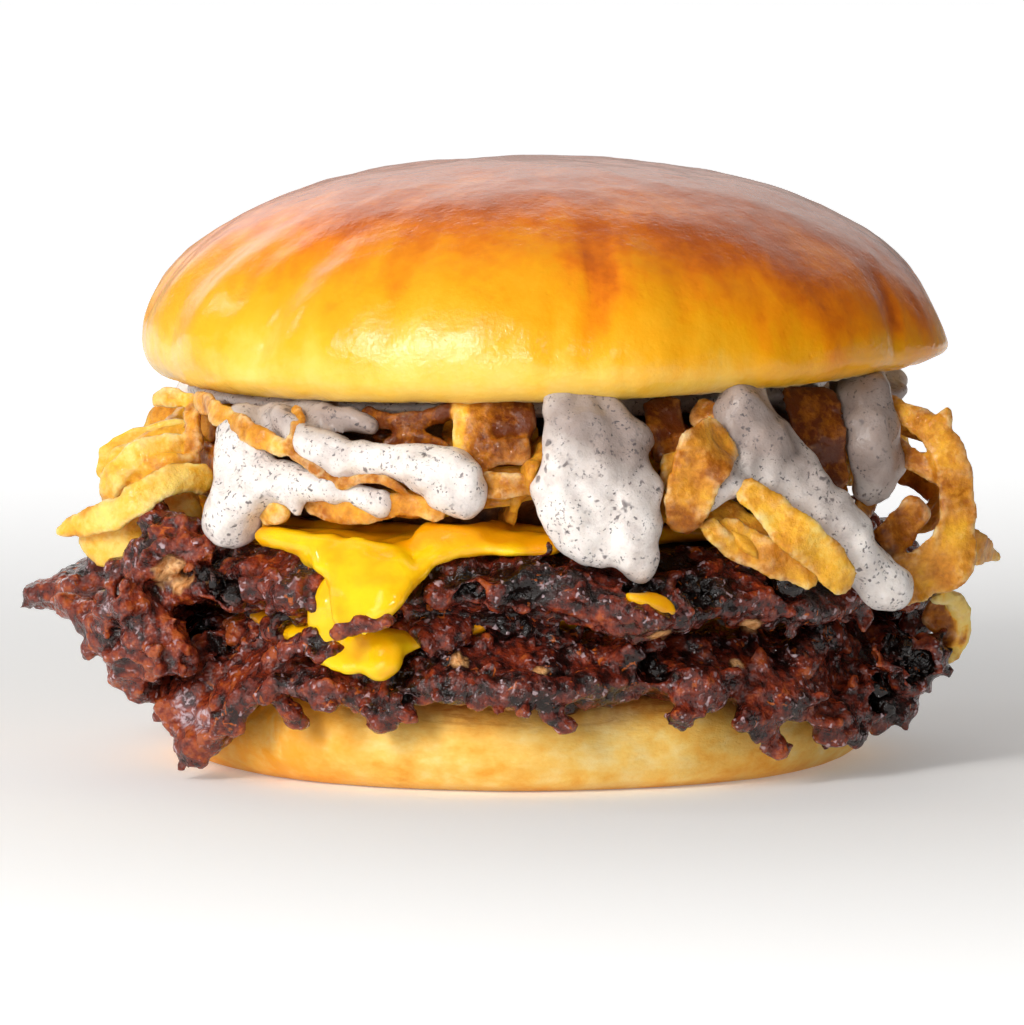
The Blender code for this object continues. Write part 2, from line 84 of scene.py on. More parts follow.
# ---- fineness -----------------------------------------------------------------------------------
BUN_SIDES, CORE_SIDES, CAP_SIDES, DRIP_SIDES = 360, 180, 180, 20
RIM_STEPS, DOME_STEPS, HEEL_STEPS, CORE_STEPS = 14, 84, 18, 16
RIBBON_FACE_SIDES = 6       # corners across each face of a ribbon
STRIP_STEPS = 40
DRIP_STEPS = 9              # for each stop of a run
PATTY_CRUMBS = 1500
MELT_LUMPS = 170            # round each slice of cheese
CHEESE_VOXEL, SAUCE_VOXEL, STRIP_VOXEL = 0.55, 0.5, 0.42    # size of the quads

# ---- where the camera stands --------------------------------------------------------------------
VIEW_DISTANCE = 1200.0
VIEW_ELEVATION = 5.5
VIEW_AIM = (-0.5, 0.0, 32.5)
LONG_SIDE = 138.4           # millimetres across the long side of the image at the aim
IMAGE = (1024, 1025)
SENSOR = 36.0               # millimetres across the camera's film

# ---- light --------------------------------------------------------------------------------------
WORLD_BASE = 0.22           # the studio's brightness all round
WORLD_SIDE = -0.19          # what it gains towards +X
WORLD_COLOR = (1.0, 0.97, 0.94)
WORLD_BACK = 1.25           # a bright panel behind the burger, between these heights
PANEL_TOP = (0.80, 0.69)
PANEL_FOOT = (0.03, 0.26)
PANEL_SIDE = (0.72, 0.36)
SOFT_BOX = ((300, 640, 0.95), (220, 460, 1.0), (120, 240, 2.15))    # widths, heights, powers, front left
SOFT_PLACE, SOFT_AIM, SOFT_COLOR = (-340, -560, 330), (0, 0, 45), (1.0, 0.975, 0.94)
GLINTS = ((-200, -720, 140, 0.36), (-520, -520, 220, 0.36), (180, -720, 330, 0.16), (-620, 60, 420, 0.2))
GLINT_SIZE, GLINT_AIM, GLINT_COLOR = 45, (0, 0, 25), (1.0, 1.0, 1.0)
FLOOR_NEAR = 0.17           # the light table's glow under the burger, kept low there as a painted shadow, and far from it
FLOOR_FAR = 0.68
FLOOR_REACH = 12.0          # metres


# ---- helpers ------------------------------------------------------------------------------------
def held(values):
    """Values kept between 0 and 1."""
    return np.clip(values, 0.0, 1.0)


def ease(values):
    """A smooth step from 0 to 1."""
    values = held(values)
    return values * values * (3.0 - 2.0 * values)


def apart(bearing, centre, drift=0.0):
    """Degrees between a bearing and a centre that has drifted on."""
    return abs((bearing - centre - drift + 180.0) % 360.0 - 180.0)


def around(bearing, radius, height, centre=(0.0, 0.0)):
    """The place at a bearing and a radius from the burger's axis or another centre."""
    angle = math.radians(bearing)
    return Vector((centre[0] + radius * math.cos(angle), centre[1] + radius * math.sin(angle), height))


def ripple(bearing, waves, seed):
    """Smooth noise round a circle."""
    return 1.8 * noise.noise(around(bearing, waves / math.tau, seed * 7.31))


def centring_shift():
    """How far the solids were moved when the burger was centred, from the bottom bun's flat base."""
    base = [v.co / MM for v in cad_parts["bun_bottom"].data.vertices if v.co.z < 0.01 * MM]
    middle = [(min(c[axis] for c in base) + max(c[axis] for c in base)) / 2 for axis in (0, 1)]
    return np.array((middle[0] - HEEL_CENTRE[0], middle[1] - HEEL_CENTRE[1], 0.0))


SHIFT = centring_shift()


def node_mesh(name):
    """A solid's corners and triangles, in this script's millimetres."""
    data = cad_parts[name].data
    data.calc_loop_triangles()
    points = np.array([v.co for v in data.vertices]) / MM - SHIFT
    triangles = np.array([t.vertices for t in data.loop_triangles])
    return points, triangles


def rough(points, size, seed, octaves=1):
    """Smooth noise, about -1 to 1, with features of about this size in millimetres."""
    places = (points / size + np.array((seed * 3.17, seed * 1.31, seed * 5.77))).tolist()
    if octaves == 1:
        return np.array([noise.noise(place) for place in places]) * 1.6
    return np.array([noise.fractal(place, 1.0, 2.0, octaves) for place in places])


def join(parts):
    """Parts as one list of points and faces, with a number for each point's part."""
    points, faces, owner, count = [], [], [], 0
    for index, (part_points, part_faces) in enumerate(parts):
        points.append(part_points)
        faces.extend((np.asarray(face) + count).tolist() for face in part_faces)
        owner.append(np.full(len(part_points), index))
        count += len(part_points)
    return np.concatenate(points), faces, np.concatenate(owner)


class Skin:
    """A surface as arrays: corners in millimetres and quads."""

    def __init__(self, points, quads):
        self.points = points
        self.quads = quads
        self.link()

    def link(self):
        """Note which corners are neighbours along the quads' edges."""
        corners = self.quads.T
        ahead = np.roll(corners, -1, axis=0)
        self.start = np.concatenate([*corners, *ahead])
        self.end = np.concatenate([*ahead, *corners])
        self.degree = np.maximum(np.bincount(self.start, minlength=len(self.points)), 1)

    def mean(self, values):
        """Mean over each corner's neighbours, of points or of a value."""
        if values.ndim == 1:
            return np.bincount(self.start, weights=values[self.end], minlength=len(values)) / self.degree
        return np.stack([self.mean(values[:, axis]) for axis in range(values.shape[1])], axis=1)

    def blur(self, values, times):
        for _ in range(times):
            values = 0.5 * values + 0.5 * self.mean(values)
        return values

    def relax(self, times, amount):
        for _ in range(times):
            self.points = self.points + amount * (self.mean(self.points) - self.points)

    def relax_where(self, share, times, amount):
        """Relax by a share from 0 to 1 for each corner."""
        before = self.points
        self.relax(times, amount)
        self.points = before + (self.points - before) * share[:, None]

    def outside(self, radius, over):
        """0 within a radius from the burger's axis, and 1 from this many millimetres further out."""
        return held((self.radius() - radius) / over)

    def radius(self):
        """Distance of each corner from the burger's axis."""
        return np.hypot(self.points[:, 0], self.points[:, 1])

    def normals(self):
        corner = self.points[self.quads]
        cross = np.cross(corner[:, 2] - corner[:, 0], corner[:, 3] - corner[:, 1])
        total = np.zeros_like(self.points)
        for axis in range(3):
            for place in self.quads.T:
                total[:, axis] += np.bincount(place, weights=cross[:, axis], minlength=len(self.points))
        return total / np.maximum(np.linalg.norm(total, axis=1, keepdims=True), 1e-9)

    def push(self, amount):
        """Move every corner along its normal."""
        self.points = self.points + self.normals() * np.asarray(amount).reshape(-1, 1)

    def hollow(self, spread):
        """Above 0 in a hollow and below 0 on a crest, for a hollow about this many quads wide."""
        return np.einsum("ij,ij->i", self.blur(self.points, spread) - self.points, self.normals())

    def keep(self, mask):
        """Keep only the quads in the mask."""
        self.quads = self.quads[mask]
        used = np.unique(self.quads)
        where = np.zeros(len(self.points), dtype=int)
        where[used] = np.arange(len(used))
        self.points = self.points[used]
        self.quads = where[self.quads]
        self.link()
        return self

    def without_crumbs(self, least):
        """Drop the loose bits that have fewer corners than this, inside and outside."""
        label = np.arange(len(self.points))
        settled = False
        while not settled:
            lowest = label[self.quads].min(axis=1)
            merged = label.copy()
            for place in self.quads.T:
                np.minimum.at(merged, place, lowest)
            merged = merged[merged]
            settled = bool((merged == label).all())
            label = merged
        size = np.bincount(label, minlength=len(label))[label]
        return self.keep(size[self.quads[:, 0]] >= least)

    def without_middle(self, radius):
        """Open the flat middle, which is closed again by one flat face when the piece is made."""
        centre = self.points[self.quads].mean(axis=1)
        return self.keep(np.hypot(centre[:, 0], centre[:, 1]) > radius)

    def sight(self):
        return Sight((self.points, self.quads))


def raw_mesh(name, points, faces):
    mesh = bpy.data.meshes.new(name)
    mesh.from_pydata(((points + SHIFT) * MM).tolist(), [], faces)
    return mesh


def voxel_skin(parts, size):
    """One closed skin round all the parts, with quads of this size in millimetres."""
    raw = raw_mesh("raw", *join(parts)[:2])
    item = bpy.data.objects.new("raw", raw)
    bpy.context.collection.objects.link(item)
    remesh = item.modifiers.new("skin", "REMESH")
    remesh.mode = "VOXEL"
    remesh.voxel_size = size * MM
    data = bpy.data.meshes.new_from_object(item.evaluated_get(bpy.context.evaluated_depsgraph_get()))
    corners = np.empty(len(data.vertices) * 3)
    data.vertices.foreach_get("co", corners)
    quads = np.empty(len(data.loops), dtype=int)
    data.loops.foreach_get("vertex_index", quads)
    bpy.data.objects.remove(item)
    bpy.data.meshes.remove(raw)
    bpy.data.meshes.remove(data)
    return Skin(corners.reshape(-1, 3) / MM - SHIFT, quads.reshape(-1, 4))


def dress(mesh, node, material, values):
    """Make a piece of the burger of a mesh, in place of its node, with a number at each corner per value."""
    for label, numbers in values.items():
        layer = mesh.attributes.new(label, "FLOAT", "POINT")
        layer.data.foreach_set("value", np.ascontiguousarray(numbers, dtype=np.float32))
    mesh.shade_smooth()
    mesh.materials.append(material)
    item = bpy.data.objects.new(mesh.name, mesh)
    bpy.context.collection.objects.link(item)
    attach(item, "root")
    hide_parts(node)


def add_piece(name, skin, node, material, values):
    """Make a piece of a skin, with each opening closed by one face."""
    mesh = raw_mesh(name, skin.points, skin.quads.tolist())
    edit = bmesh.new()
    edit.from_mesh(mesh)
    open_edges = [edge for edge in edit.edges if edge.is_boundary]
    if open_edges:
        bmesh.ops.holes_fill(edit, edges=open_edges, sides=0)
        bmesh.ops.recalc_face_normals(edit, faces=edit.faces)
    edit.to_mesh(mesh)
    edit.free()
    dress(mesh, node, material, values)


def grid_quads(rows, columns):
    """Quads over rows of columns, each row closed on itself."""
    row, column = np.meshgrid(np.arange(rows - 1), np.arange(columns), indexing="ij")
    near, far, after = row * columns, (row + 1) * columns, (column + 1) % columns
    return np.stack([near + column, near + after, far + after, far + column], axis=-1).reshape(-1, 4)


def ring_skin(rings):
    """A skin through rings of places, open at both ends."""
    return Skin(np.array(rings).reshape(-1, 3), grid_quads(len(rings), len(rings[0])))


def ring_part(rings):
    """Points and faces through rings of places, closed at both ends."""
    sides = len(rings[0])
    last = (len(rings) - 1) * sides
    caps = [list(range(sides))[::-1], [last + side for side in range(sides)]]
    return np.array(rings).reshape(-1, 3), grid_quads(len(rings), sides).tolist() + caps


# ---- material building --------------------------------------------------------------------------
class Nodes:
    """The shader nodes of a material or a world. Sizes are in millimetres on the object."""

    def __init__(self, tree, place):
        self.tree = tree
        self.place = self.add("TexCoord").outputs[place]

    def add(self, kind, **sources):
        node = self.tree.nodes.new("ShaderNode" + kind)
        self.fill(node, sources)
        return node

    def fill(self, node, sources):
        """Give inputs, by their labels, what link() takes."""
        for label, source in sources.items():
            self.link(source, node.inputs[label.replace("_", " ")])

    def link(self, source, socket):
        """Give an input another node's output, or its own number, vector or colour."""
        if isinstance(source, bpy.types.NodeSocket):
            self.tree.links.new(source, socket)
        else:
            socket.default_value = (*source, 1.0) if socket.type == "RGBA" else source

    def noise(self, size, detail=3.0, roughness=0.55, distortion=0.0, place=None):
        return self.add(
            "TexNoise", Vector=place or self.place, Scale=1.0 / (size * MM), Detail=detail,
            Roughness=roughness, Distortion=distortion,
        ).outputs["Fac"]

    def cells(self, size, place=None):
        return self.add("TexVoronoi", Vector=place or self.place, Scale=1.0 / (size * MM)).outputs

    def stirred(self, amount, size):
        """The place, moved about by noise, to break up even outlines."""
        swirl = self.add("TexNoise", Vector=self.place, Scale=1.0 / (size * MM), Detail=2.0).outputs["Color"]
        return self.apply("VectorMath", "MULTIPLY_ADD", swirl, (amount * MM,) * 3, self.place)

    def stretch(self, x, y, z):
        return self.add("Mapping", Vector=self.place, Scale=(x, y, z)).outputs["Vector"]

    def value(self, name):
        """A number kept at each corner of the mesh."""
        node = self.add("Attribute")
        node.attribute_name = name
        return node.outputs["Fac"]

    def apply(self, kind, operation, *sources):
        """The first output of a node that works on its inputs in turn."""
        node = self.add(kind)
        node.operation = operation
        for source, socket in zip(sources, node.inputs):
            self.link(source, socket)
        return node.outputs[0]

    def math(self, operation, *sources, clamp=False):
        result = self.apply("Math", operation, *sources)
        result.node.use_clamp = clamp
        return result

    def plus(self, first, *others):
        for other in others:
            first = self.math("ADD", first, other)
        return first

    def times(self, first, *others, clamp=False):
        for other in others:
            first = self.math("MULTIPLY", first, other, clamp=clamp)
        return first

    def span(self, source, low, high, to_low=0.0, to_high=1.0):
        """A smooth step between two limits."""
        node = self.add(
            "MapRange", Value=source, From_Min=low, From_Max=high, To_Min=to_low, To_Max=to_high,
        )
        node.interpolation_type = "SMOOTHSTEP"
        return node.outputs["Result"]

    def ramp(self, source, *stops):
        node = self.add("ValToRGB", Fac=source)
        elements = node.color_ramp.elements
        while len(elements) < len(stops):
            elements.new(0.5)
        for element, (position, color) in zip(elements, stops):
            element.position = position
            element.color = (*color, 1.0)
        return node.outputs["Color"]

    def mix(self, share, first, second):
        node = self.add("Mix")
        node.data_type = "RGBA"
        for source, index in ((share, 0), (first, 6), (second, 7)):
            self.link(source, node.inputs[index])
        return node.outputs[2]

    def relief(self, *layers):
        """A normal with bumps over bumps: (height, depth in millimetres, strength) of each layer."""
        normal = None
        for height, depth, strength in layers:
            node = self.add("Bump", Height=height, Distance=depth * MM, Strength=strength)
            if normal is not None:
                self.link(normal, node.inputs["Normal"])
            normal = node.outputs["Normal"]
        return normal


class Finish(Nodes):
    """A procedural material."""

    def __init__(self, name, **sources):
        self.material = bpy.data.materials.new(name)
        self.material.use_nodes = True
        super().__init__(self.material.node_tree, "Object")
        self.shader = self.tree.nodes["Principled BSDF"]
        self.fill(self.shader, sources)

    def done(self, color, normal, coat_normal=None):
        """The material, with its colour and relief."""
        self.fill(self.shader, {"Base Color": color, "Normal": normal, "Coat Normal": coat_normal or normal})
        return self.material


# ---- places on the surface that the camera sees -------------------------------------------------
TILT = math.radians(VIEW_ELEVATION)
BACK = Vector((0.0, -math.cos(TILT), math.sin(TILT)))
EYE = Vector(VIEW_AIM) + VIEW_DISTANCE * BACK


def sight_line(across, down):
    """Direction from the camera through a pixel."""
    scale = LONG_SIDE / IMAGE[1] / VIEW_DISTANCE
    right = (across - IMAGE[0] / 2) * scale
    up = (IMAGE[1] / 2 - down) * scale
    return Vector((
        right, math.cos(TILT) + up * math.sin(TILT), up * math.cos(TILT) - math.sin(TILT),
    ))


def seen(across, down, radius):
    """The place at a pixel, on the front of an upright cylinder round the burger's axis."""
    ray = sight_line(across, down)
    a = ray.x ** 2 + ray.y ** 2
    b = 2 * (EYE.x * ray.x + EYE.y * ray.y)
    c = EYE.x ** 2 + EYE.y ** 2 - radius ** 2
    inside = b * b - 4 * a * c
    reach = (-b - math.sqrt(max(inside, 0.0))) / (2 * a)
    return np.array(EYE + ray * reach)


class Sight:
    """Finds the place on some parts that stands at a pixel of the image."""

    def __init__(self, *parts):
        points, faces, _ = join(parts)
        self.tree = BVHTree.FromPolygons(points.tolist(), faces)

    def at(self, across, down):
        """(place, outward normal) at a pixel, or None."""
        ray = sight_line(across, down)
        place, normal, _, _ = self.tree.ray_cast(EYE, ray.normalized())
        if place is None:
            return None
        if normal.dot(ray) > 0.0:
            normal = -normal
        return np.array(place), np.array(normal)


def spotted(values, skin, spots):
    """Values with soft spots added at pixels: (across, down, radius in millimetres, amount)."""
    shown = skin.sight()
    for across, down, radius, amount in spots:
        found = shown.at(across, down)
        if found is not None:
            away = np.linalg.norm(skin.points - found[0], axis=1) / radius
            values = values + amount * np.exp(-away * away)
    return values


def mark(skin, shown, marks, seed):
    """Ragged spots at pixels, from 0 to 1: (across, down, radius in millimetres)."""
    amount = np.zeros(len(skin.points))
    edge = 0.35 * rough(skin.points, 1.2, seed, 2)
    for across, down, radius in marks:
        found = shown.at(across, down)
        if found is not None:
            away = np.linalg.norm(skin.points - found[0], axis=1) / radius
            amount = np.maximum(amount, held((1.15 - away + edge) * 3.0))
    return amount


def unit_ball():
    mesh = bmesh.new()
    bmesh.ops.create_icosphere(mesh, subdivisions=2, radius=1.0)
    points = np.array([vertex.co for vertex in mesh.verts])
    faces = np.array([[vertex.index for vertex in face.verts] for face in mesh.faces])
    mesh.free()
    return points, faces


BALL = unit_ball()


def blob(place, axes, sizes):
    """An ellipsoid at a place, with unit axes as rows and its three half lengths."""
    points = (BALL[0] * np.asarray(sizes)) @ np.asarray(axes) + np.asarray(place)
    return points, BALL[1]


def tangent_axes(normal, turn):
    """Three unit axes: two across the surface, turned by an angle, and the normal."""
    normal = np.asarray(normal) / np.linalg.norm(normal)
    side = np.cross(normal, (0.0, 0.0, 1.0))
    if np.linalg.norm(side) < 0.2:
        side = np.cross(normal, (1.0, 0.0, 0.0))
    side = side / np.linalg.norm(side)
    up = np.cross(normal, side)
    return np.array((
        math.cos(turn) * side + math.sin(turn) * up, -math.sin(turn) * side + math.cos(turn) * up, normal,
    ))


def upright_axes(place, turn=0.0):
    """The axes of a surface that faces away from the burger's axis."""
    return tangent_axes((place[0], place[1], 0.0), turn)


def smooth_path(stops, count):
    """Catmull-Rom curve through rows of numbers, at count even steps."""
    stops = np.asarray(stops, dtype=float)
    padded = np.concatenate([2 * stops[:1] - stops[1:2], stops, 2 * stops[-1:] - stops[-2:-1]])
    rows = []
    for step in range(count):
        position = step / (count - 1) * (len(stops) - 1)
        index = min(int(position), len(stops) - 2)
        t = position - index
        a, b, c, d = padded[index:index + 4]
        rows.append(0.5 * (
            2 * b + (c - a) * t + (2 * a - 5 * b + 4 * c - d) * t * t + (3 * b - a - 3 * c + d) * t ** 3
        ))
    return np.array(rows)


# ---- buns ---------------------------------------------------------------------------------------
BUN_BEARINGS = [360.0 * index / BUN_SIDES for index in range(BUN_SIDES)]
CUT_INSETS = (14.0, 9.0, 5.0, 2.5, 1.0)
RISE_FOOT = 51.0            # height from which the share of the bun's rise is counted
# creases up the glaze: bearing, half width in degrees, depth and the share of the rise where it ends
VALLEYS = (
    (277.5, 4.6, 0.5, 0.86), (271.5, 2.8, 0.25, 0.7), (291, 4.0, 0.15, 0.8), (303, 4.0, 0.16, 0.66),
    (333, 3.5, 0.7, 0.62), (247, 5.0, 0.25, 0.85), (20, 4.0, 0.4, 0.8), (62, 5.0, 0.32, 0.85),
    (97, 3.6, 0.25, 0.7), (128, 5.0, 0.35, 0.85), (160, 4.0, 0.3, 0.75), (188, 4.5, 0.4, 0.8),
)
# swellings and dips at the left: bearing, half width in degrees and height
STREAKS = ((212.5, 6.5, 0.8), (226.0, 7.0, -1.3), (196.0, 5.0, 0.4), (204.0, 5.0, -0.5))
BROWNED_AND_SHADED = (344.0, 60.0, 0.40)   # the browner side, also painted darker as shade on this side away from the light: bearing, half width in degrees and how much
# patches of the glaze that are browner or paler: pixel, radius and how much
BAKE_SPOTS = (
    (704, 250, 5.5, 0.2), (740, 232, 5.0, 0.15), (648, 268, 5.0, -0.1), (800, 270, 7.0, 0.14),
    (588, 262, 2.6, 0.12), (600, 232, 4.0, 0.08), (520, 268, 6.0, -0.05), (400, 262, 8.0, -0.04),
    (840, 350, 6.0, 0.16), (780, 368, 6.0, 0.1), (900, 330, 5.0, 0.02), (300, 246, 5.0, 0.03),
    (740, 310, 6.0, 0.12), (800, 330, 5.0, 0.1), (710, 372, 5.0, 0.08), (620, 300, 3.0, 0.04),
    (470, 224, 7.0, 0.07), (380, 220, 6.0, 0.08), (585, 262, 3.0, 0.06), (560, 290, 2.4, 0.04),
)


def crown_seat(x, y):
    """Height of the top bun's cut face."""
    return CROWN_SEAT + CROWN_SLOPE[0] * x + CROWN_SLOPE[1] * y


def crown_rings():
    """The top bun from its cut face, round the rim and up the dome."""
    lip_bearing, lip_width, lip_out = CROWN_LIP
    lips = [lip_out * ease(1.0 - apart(b, lip_bearing) / lip_width) for b in BUN_BEARINGS]
    folds = [abs(ripple(b, 9, 5)) for b in BUN_BEARINGS]
    dents = [abs(ripple(b, 4, 8)) for b in BUN_BEARINGS]
    sides = list(zip(BUN_BEARINGS, lips, folds, dents))
    rings = []
    for inset in CUT_INSETS:
        ring = [around(b, CROWN_FACE - inset, 0.0, CROWN_CENTRE) for b in BUN_BEARINGS]
        for point in ring:
            point.z = crown_seat(point.x, point.y)
        rings.append(ring)
    for step in range(RIM_STEPS):
        angle = math.pi / 2 * step / RIM_STEPS
        ring = []
        for b, lip, fold, dent in sides:
            wide = CROWN_RADIUS + lip - CREASE * fold - DENT * dent
            point = around(b, CROWN_FACE + (wide - CROWN_FACE) * math.sin(angle), 0.0, CROWN_CENTRE)
            seat = crown_seat(point.x, point.y)
            point.z = seat + (CROWN_WIDE_Z - seat) * (1.0 - math.cos(angle))
            ring.append(point)
        rings.append(ring)
    for step in range(DOME_STEPS):
        angle = math.pi / 2 * step / DOME_STEPS
        ring = []
        for b, lip, fold, dent in sides:
            crease = CREASE * math.cos(angle) * fold + DENT * dent
            radius = CROWN_RADIUS * math.cos(angle) ** (2.0 / DOME_POWER) - crease * math.cos(angle)
            radius += lip * (1.0 - math.sin(angle)) ** 4
            ring.append(around(b, radius, CROWN_WIDE_Z + CROWN_DOME * math.sin(angle), CROWN_CENTRE))
        rings.append(ring)
    return rings


def make_crown():
    """Top bun, glazed and folded at its rim, with the pale cut face below."""
    skin = ring_skin(crown_rings())
    skin.relax(3, 0.4)
    x, y, z = skin.points.T
    out = np.hypot(x - CROWN_CENTRE[0], y - CROWN_CENTRE[1])
    bearing = np.degrees(np.arctan2(y - CROWN_CENTRE[1], x - CROWN_CENTRE[0])) % 360
    rise = (z - RISE_FOOT) / (CROWN_WIDE_Z + CROWN_DOME - RISE_FOOT)
    face = held((crown_seat(x, y) + 0.35 - z) / 0.3)
    turn = np.radians(bearing)
    drawn_up = np.stack([np.cos(turn) * 50.0, np.sin(turn) * 50.0, z * 0.22], axis=1)
    upright = rough(drawn_up, 5.0, 3)
    fine = rough(drawn_up, 1.7, 8)
    broad = rough(skin.points, 13.0, 2, 3)
    rim = held(1.0 - np.abs(rise - 0.2) / 0.34)
    valley = np.zeros(len(skin.points))
    for centre, half, deep, top in VALLEYS:
        away = apart(bearing, centre, 5.0 * (rise - 0.4)) / (half * (0.5 + 1.2 * rise))
        lane = ease(1.0 - away + 0.25 * fine)
        valley += deep * lane * (held((top - rise) / 0.3) * held((rise - 0.1) / 0.2))
    streak = np.zeros(len(skin.points))
    for centre, half, high in STREAKS:
        lane = ease(1.0 - apart(bearing, centre, 12.0 * (rise - 0.3)) / half)
        streak += high * lane * (held((0.78 - rise) / 0.25) * held((rise - 0.08) / 0.18))
    amount = 0.35 * broad - valley + streak + 0.17 * rim * upright + 0.08 * rim * fine
    amount += 0.05 * rough(skin.points, 2.4, 6, 2)
    skin.push(amount * (1.0 - face) * held((out - 1.0) / 6.0))
    skin.push(0.25 * rough(skin.points, 1.5, 9, 2) * face)
    bake = rise + 0.10 * broad + 0.46 * valley + 0.05 * upright * rim + 0.02 * fine
    # browner glaze on the right front, with painted shade on that side too
    centre, half, much = BROWNED_AND_SHADED
    side = ease(1.0 - apart(bearing, centre) / half)
    bake += much * side * np.clip(rise / 0.3, 0.75, 1.0) * held(2.2 - 2 * rise)
    return skin, {"bake": spotted(bake, skin, BAKE_SPOTS) - 0.03, "face": face}


def make_heel():
    """Bottom bun, pale and soft, with a toasted upper edge."""
    quarter = [math.pi / 2 * step / HEEL_STEPS for step in range(HEEL_STEPS + 1)]
    profile = [(HEEL_BASE - inset, 0.0) for inset in (10.0, 5.0, 2.0)]
    for angle in quarter:
        radius = HEEL_BASE + (HEEL_RADIUS - HEEL_BASE) * math.sin(angle)
        profile.append((radius, HEEL_BULGE * (1.0 - math.cos(angle))))
    for angle in quarter[1:]:
        radius = HEEL_TOP + (HEEL_RADIUS - HEEL_TOP) * math.cos(angle)
        profile.append((radius, HEEL_BULGE + (HEEL_HEIGHT - HEEL_BULGE) * math.sin(angle)))
    profile += [(HEEL_TOP - inset, HEEL_HEIGHT) for inset in (1.5, 4.0, 8.0)]
    dents = [HEEL_DENT * abs(ripple(b, 7, 3)) for b in BUN_BEARINGS]
    skin = ring_skin([
        [
            around(b, radius - (dent if 0.0 < height < HEEL_HEIGHT else 0.0), height, HEEL_CENTRE)
            for b, dent in zip(BUN_BEARINGS, dents)
        ]
        for radius, height in profile
    ])
    points = skin.points
    height = points[:, 2]
    folds = rough(points * (0.45, 0.45, 1.0), 3.2, 5, 2)
    amount = 0.35 * rough(points, 12.0, 4, 3) + 0.16 * folds + 0.06 * rough(points, 1.4, 7, 2)
    skin.push(amount * (held(height / 1.2) * held((HEEL_HEIGHT - height) / 0.8)))
    skin.push(0.25 * rough(skin.points, 1.3, 3, 2) * held((height - 12.8) / 0.2))
    return skin, {
        "cut": held((height - 8.0) / 3.4), "under": held((1.5 - height) / 1.5),
        "soak": held((-16.0 - points[:, 0]) / 16.0),
    }


# ---- patties ------------------------------------------------------------------------------------
CHEESE_BEARINGS = (236.0, 264.0)    # where the melted cheese runs down
# lumps that show at the front: pixel, half length, half width, half depth and turn in degrees
UPPER_LUMPS = (
    (172, 573, 2.2, 2.0, 2.2, 0), (178, 512, 3.0, 1.6, 1.6, 60), (164, 498, 1.8, 0.9, 1.0, 20),
    (196, 520, 2.4, 1.8, 1.6, 100), (110, 600, 4.5, 3.0, 3.0, 20), (140, 618, 5.0, 3.4, 3.2, 30),
    (175, 625, 5.0, 3.4, 3.0, 15), (84, 596, 4.0, 2.2, 2.0, 10), (215, 610, 4.0, 3.0, 2.6, 0),
    (258, 606, 4.0, 3.2, 2.6, 80), (290, 600, 3.4, 2.6, 2.2, 70), (455, 560, 5.0, 2.6, 2.0, 30),
    (500, 548, 5.0, 2.6, 2.2, 10), (535, 552, 4.5, 2.6, 2.2, 170), (560, 590, 5.0, 3.4, 2.6, 0),
    (600, 610, 5.0, 3.2, 2.8, 150), (630, 640, 3.6, 2.8, 2.2, 120), (700, 600, 4.5, 3.2, 2.4, 20),
    (760, 605, 5.0, 3.6, 2.8, 0), (815, 625, 5.0, 4.0, 3.0, 80), (800, 660, 3.6, 3.0, 2.6, 60),
    (880, 640, 4.5, 3.6, 2.8, 40), (910, 655, 4.0, 3.4, 2.6, 60),
)
LOWER_LUMPS = (
    (190, 700, 4.5, 3.2, 2.4, 60), (200, 740, 4.5, 3.0, 2.2, 20), (240, 755, 4.0, 2.2, 1.8, 10),
    (290, 705, 2.4, 1.6, 1.6, 90), (330, 690, 4.5, 2.6, 2.2, 0), (420, 700, 4.5, 2.6, 2.2, 10),
    (520, 690, 5.0, 2.8, 2.4, 0), (600, 690, 5.0, 2.8, 2.4, 170), (700, 690, 4.5, 3.4, 2.6, 0),
    (690, 715, 2.4, 1.8, 1.6, 90), (780, 700, 4.5, 3.2, 2.6, 20), (850, 710, 4.5, 3.4, 2.6, 40),
    (900, 700, 4.0, 3.2, 2.4, 60), (860, 735, 3.6, 2.4, 2.0, 20),
)
# lumps of the upper patty over the lower slice of cheese, the same way
COVER_LUMPS = (
    (250, 620, 2.6, 1.8, 1.8, 20), (256, 608, 2.6, 1.8, 1.8, 20), (272, 630, 2.6, 1.8, 1.8, 0),
    (492, 620, 2.6, 1.6, 1.8, 0), (520, 624, 2.6, 1.6, 1.8, 0), (618, 596, 2.0, 1.6, 1.4, 0),
    (668, 622, 2.2, 1.6, 1.4, 0), (640, 618, 1.8, 1.0, 1.2, 0), (356, 640, 1.2, 0.9, 1.0, 40),
    (306, 572, 2.4, 1.8, 1.8, 20), (320, 583, 2.4, 1.8, 1.8, 40), (300, 588, 2.6, 2.2, 1.8, 0),
    (312, 598, 1.8, 1.2, 1.4, 0), (244, 630, 3.4, 2.2, 1.8, 20), (262, 640, 3.0, 2.2, 1.8, 0),
    (284, 650, 2.8, 1.8, 1.6, 160), (302, 646, 2.6, 1.8, 1.5, 20), (322, 640, 2.4, 1.7, 1.4, 0),
    (334, 652, 1.8, 1.2, 1.2, 30), (352, 628, 2.0, 1.0, 1.1, 0), (374, 626, 2.0, 1.0, 1.1, 10),
    (396, 624, 2.2, 1.2, 1.2, 160), (414, 612, 2.4, 1.5, 1.4, 150), (424, 628, 2.6, 1.8, 1.6, 0),
    (436, 640, 2.6, 2.0, 1.8, 30), (424, 652, 1.8, 1.3, 1.4, 60), (456, 634, 2.8, 2.0, 1.8, 10),
    (482, 632, 3.0, 2.0, 1.8, 170), (508, 636, 3.0, 2.0, 1.8, 0), (536, 640, 3.0, 2.0, 1.8, 20),
    (564, 642, 2.8, 1.9, 1.7, 0),
)
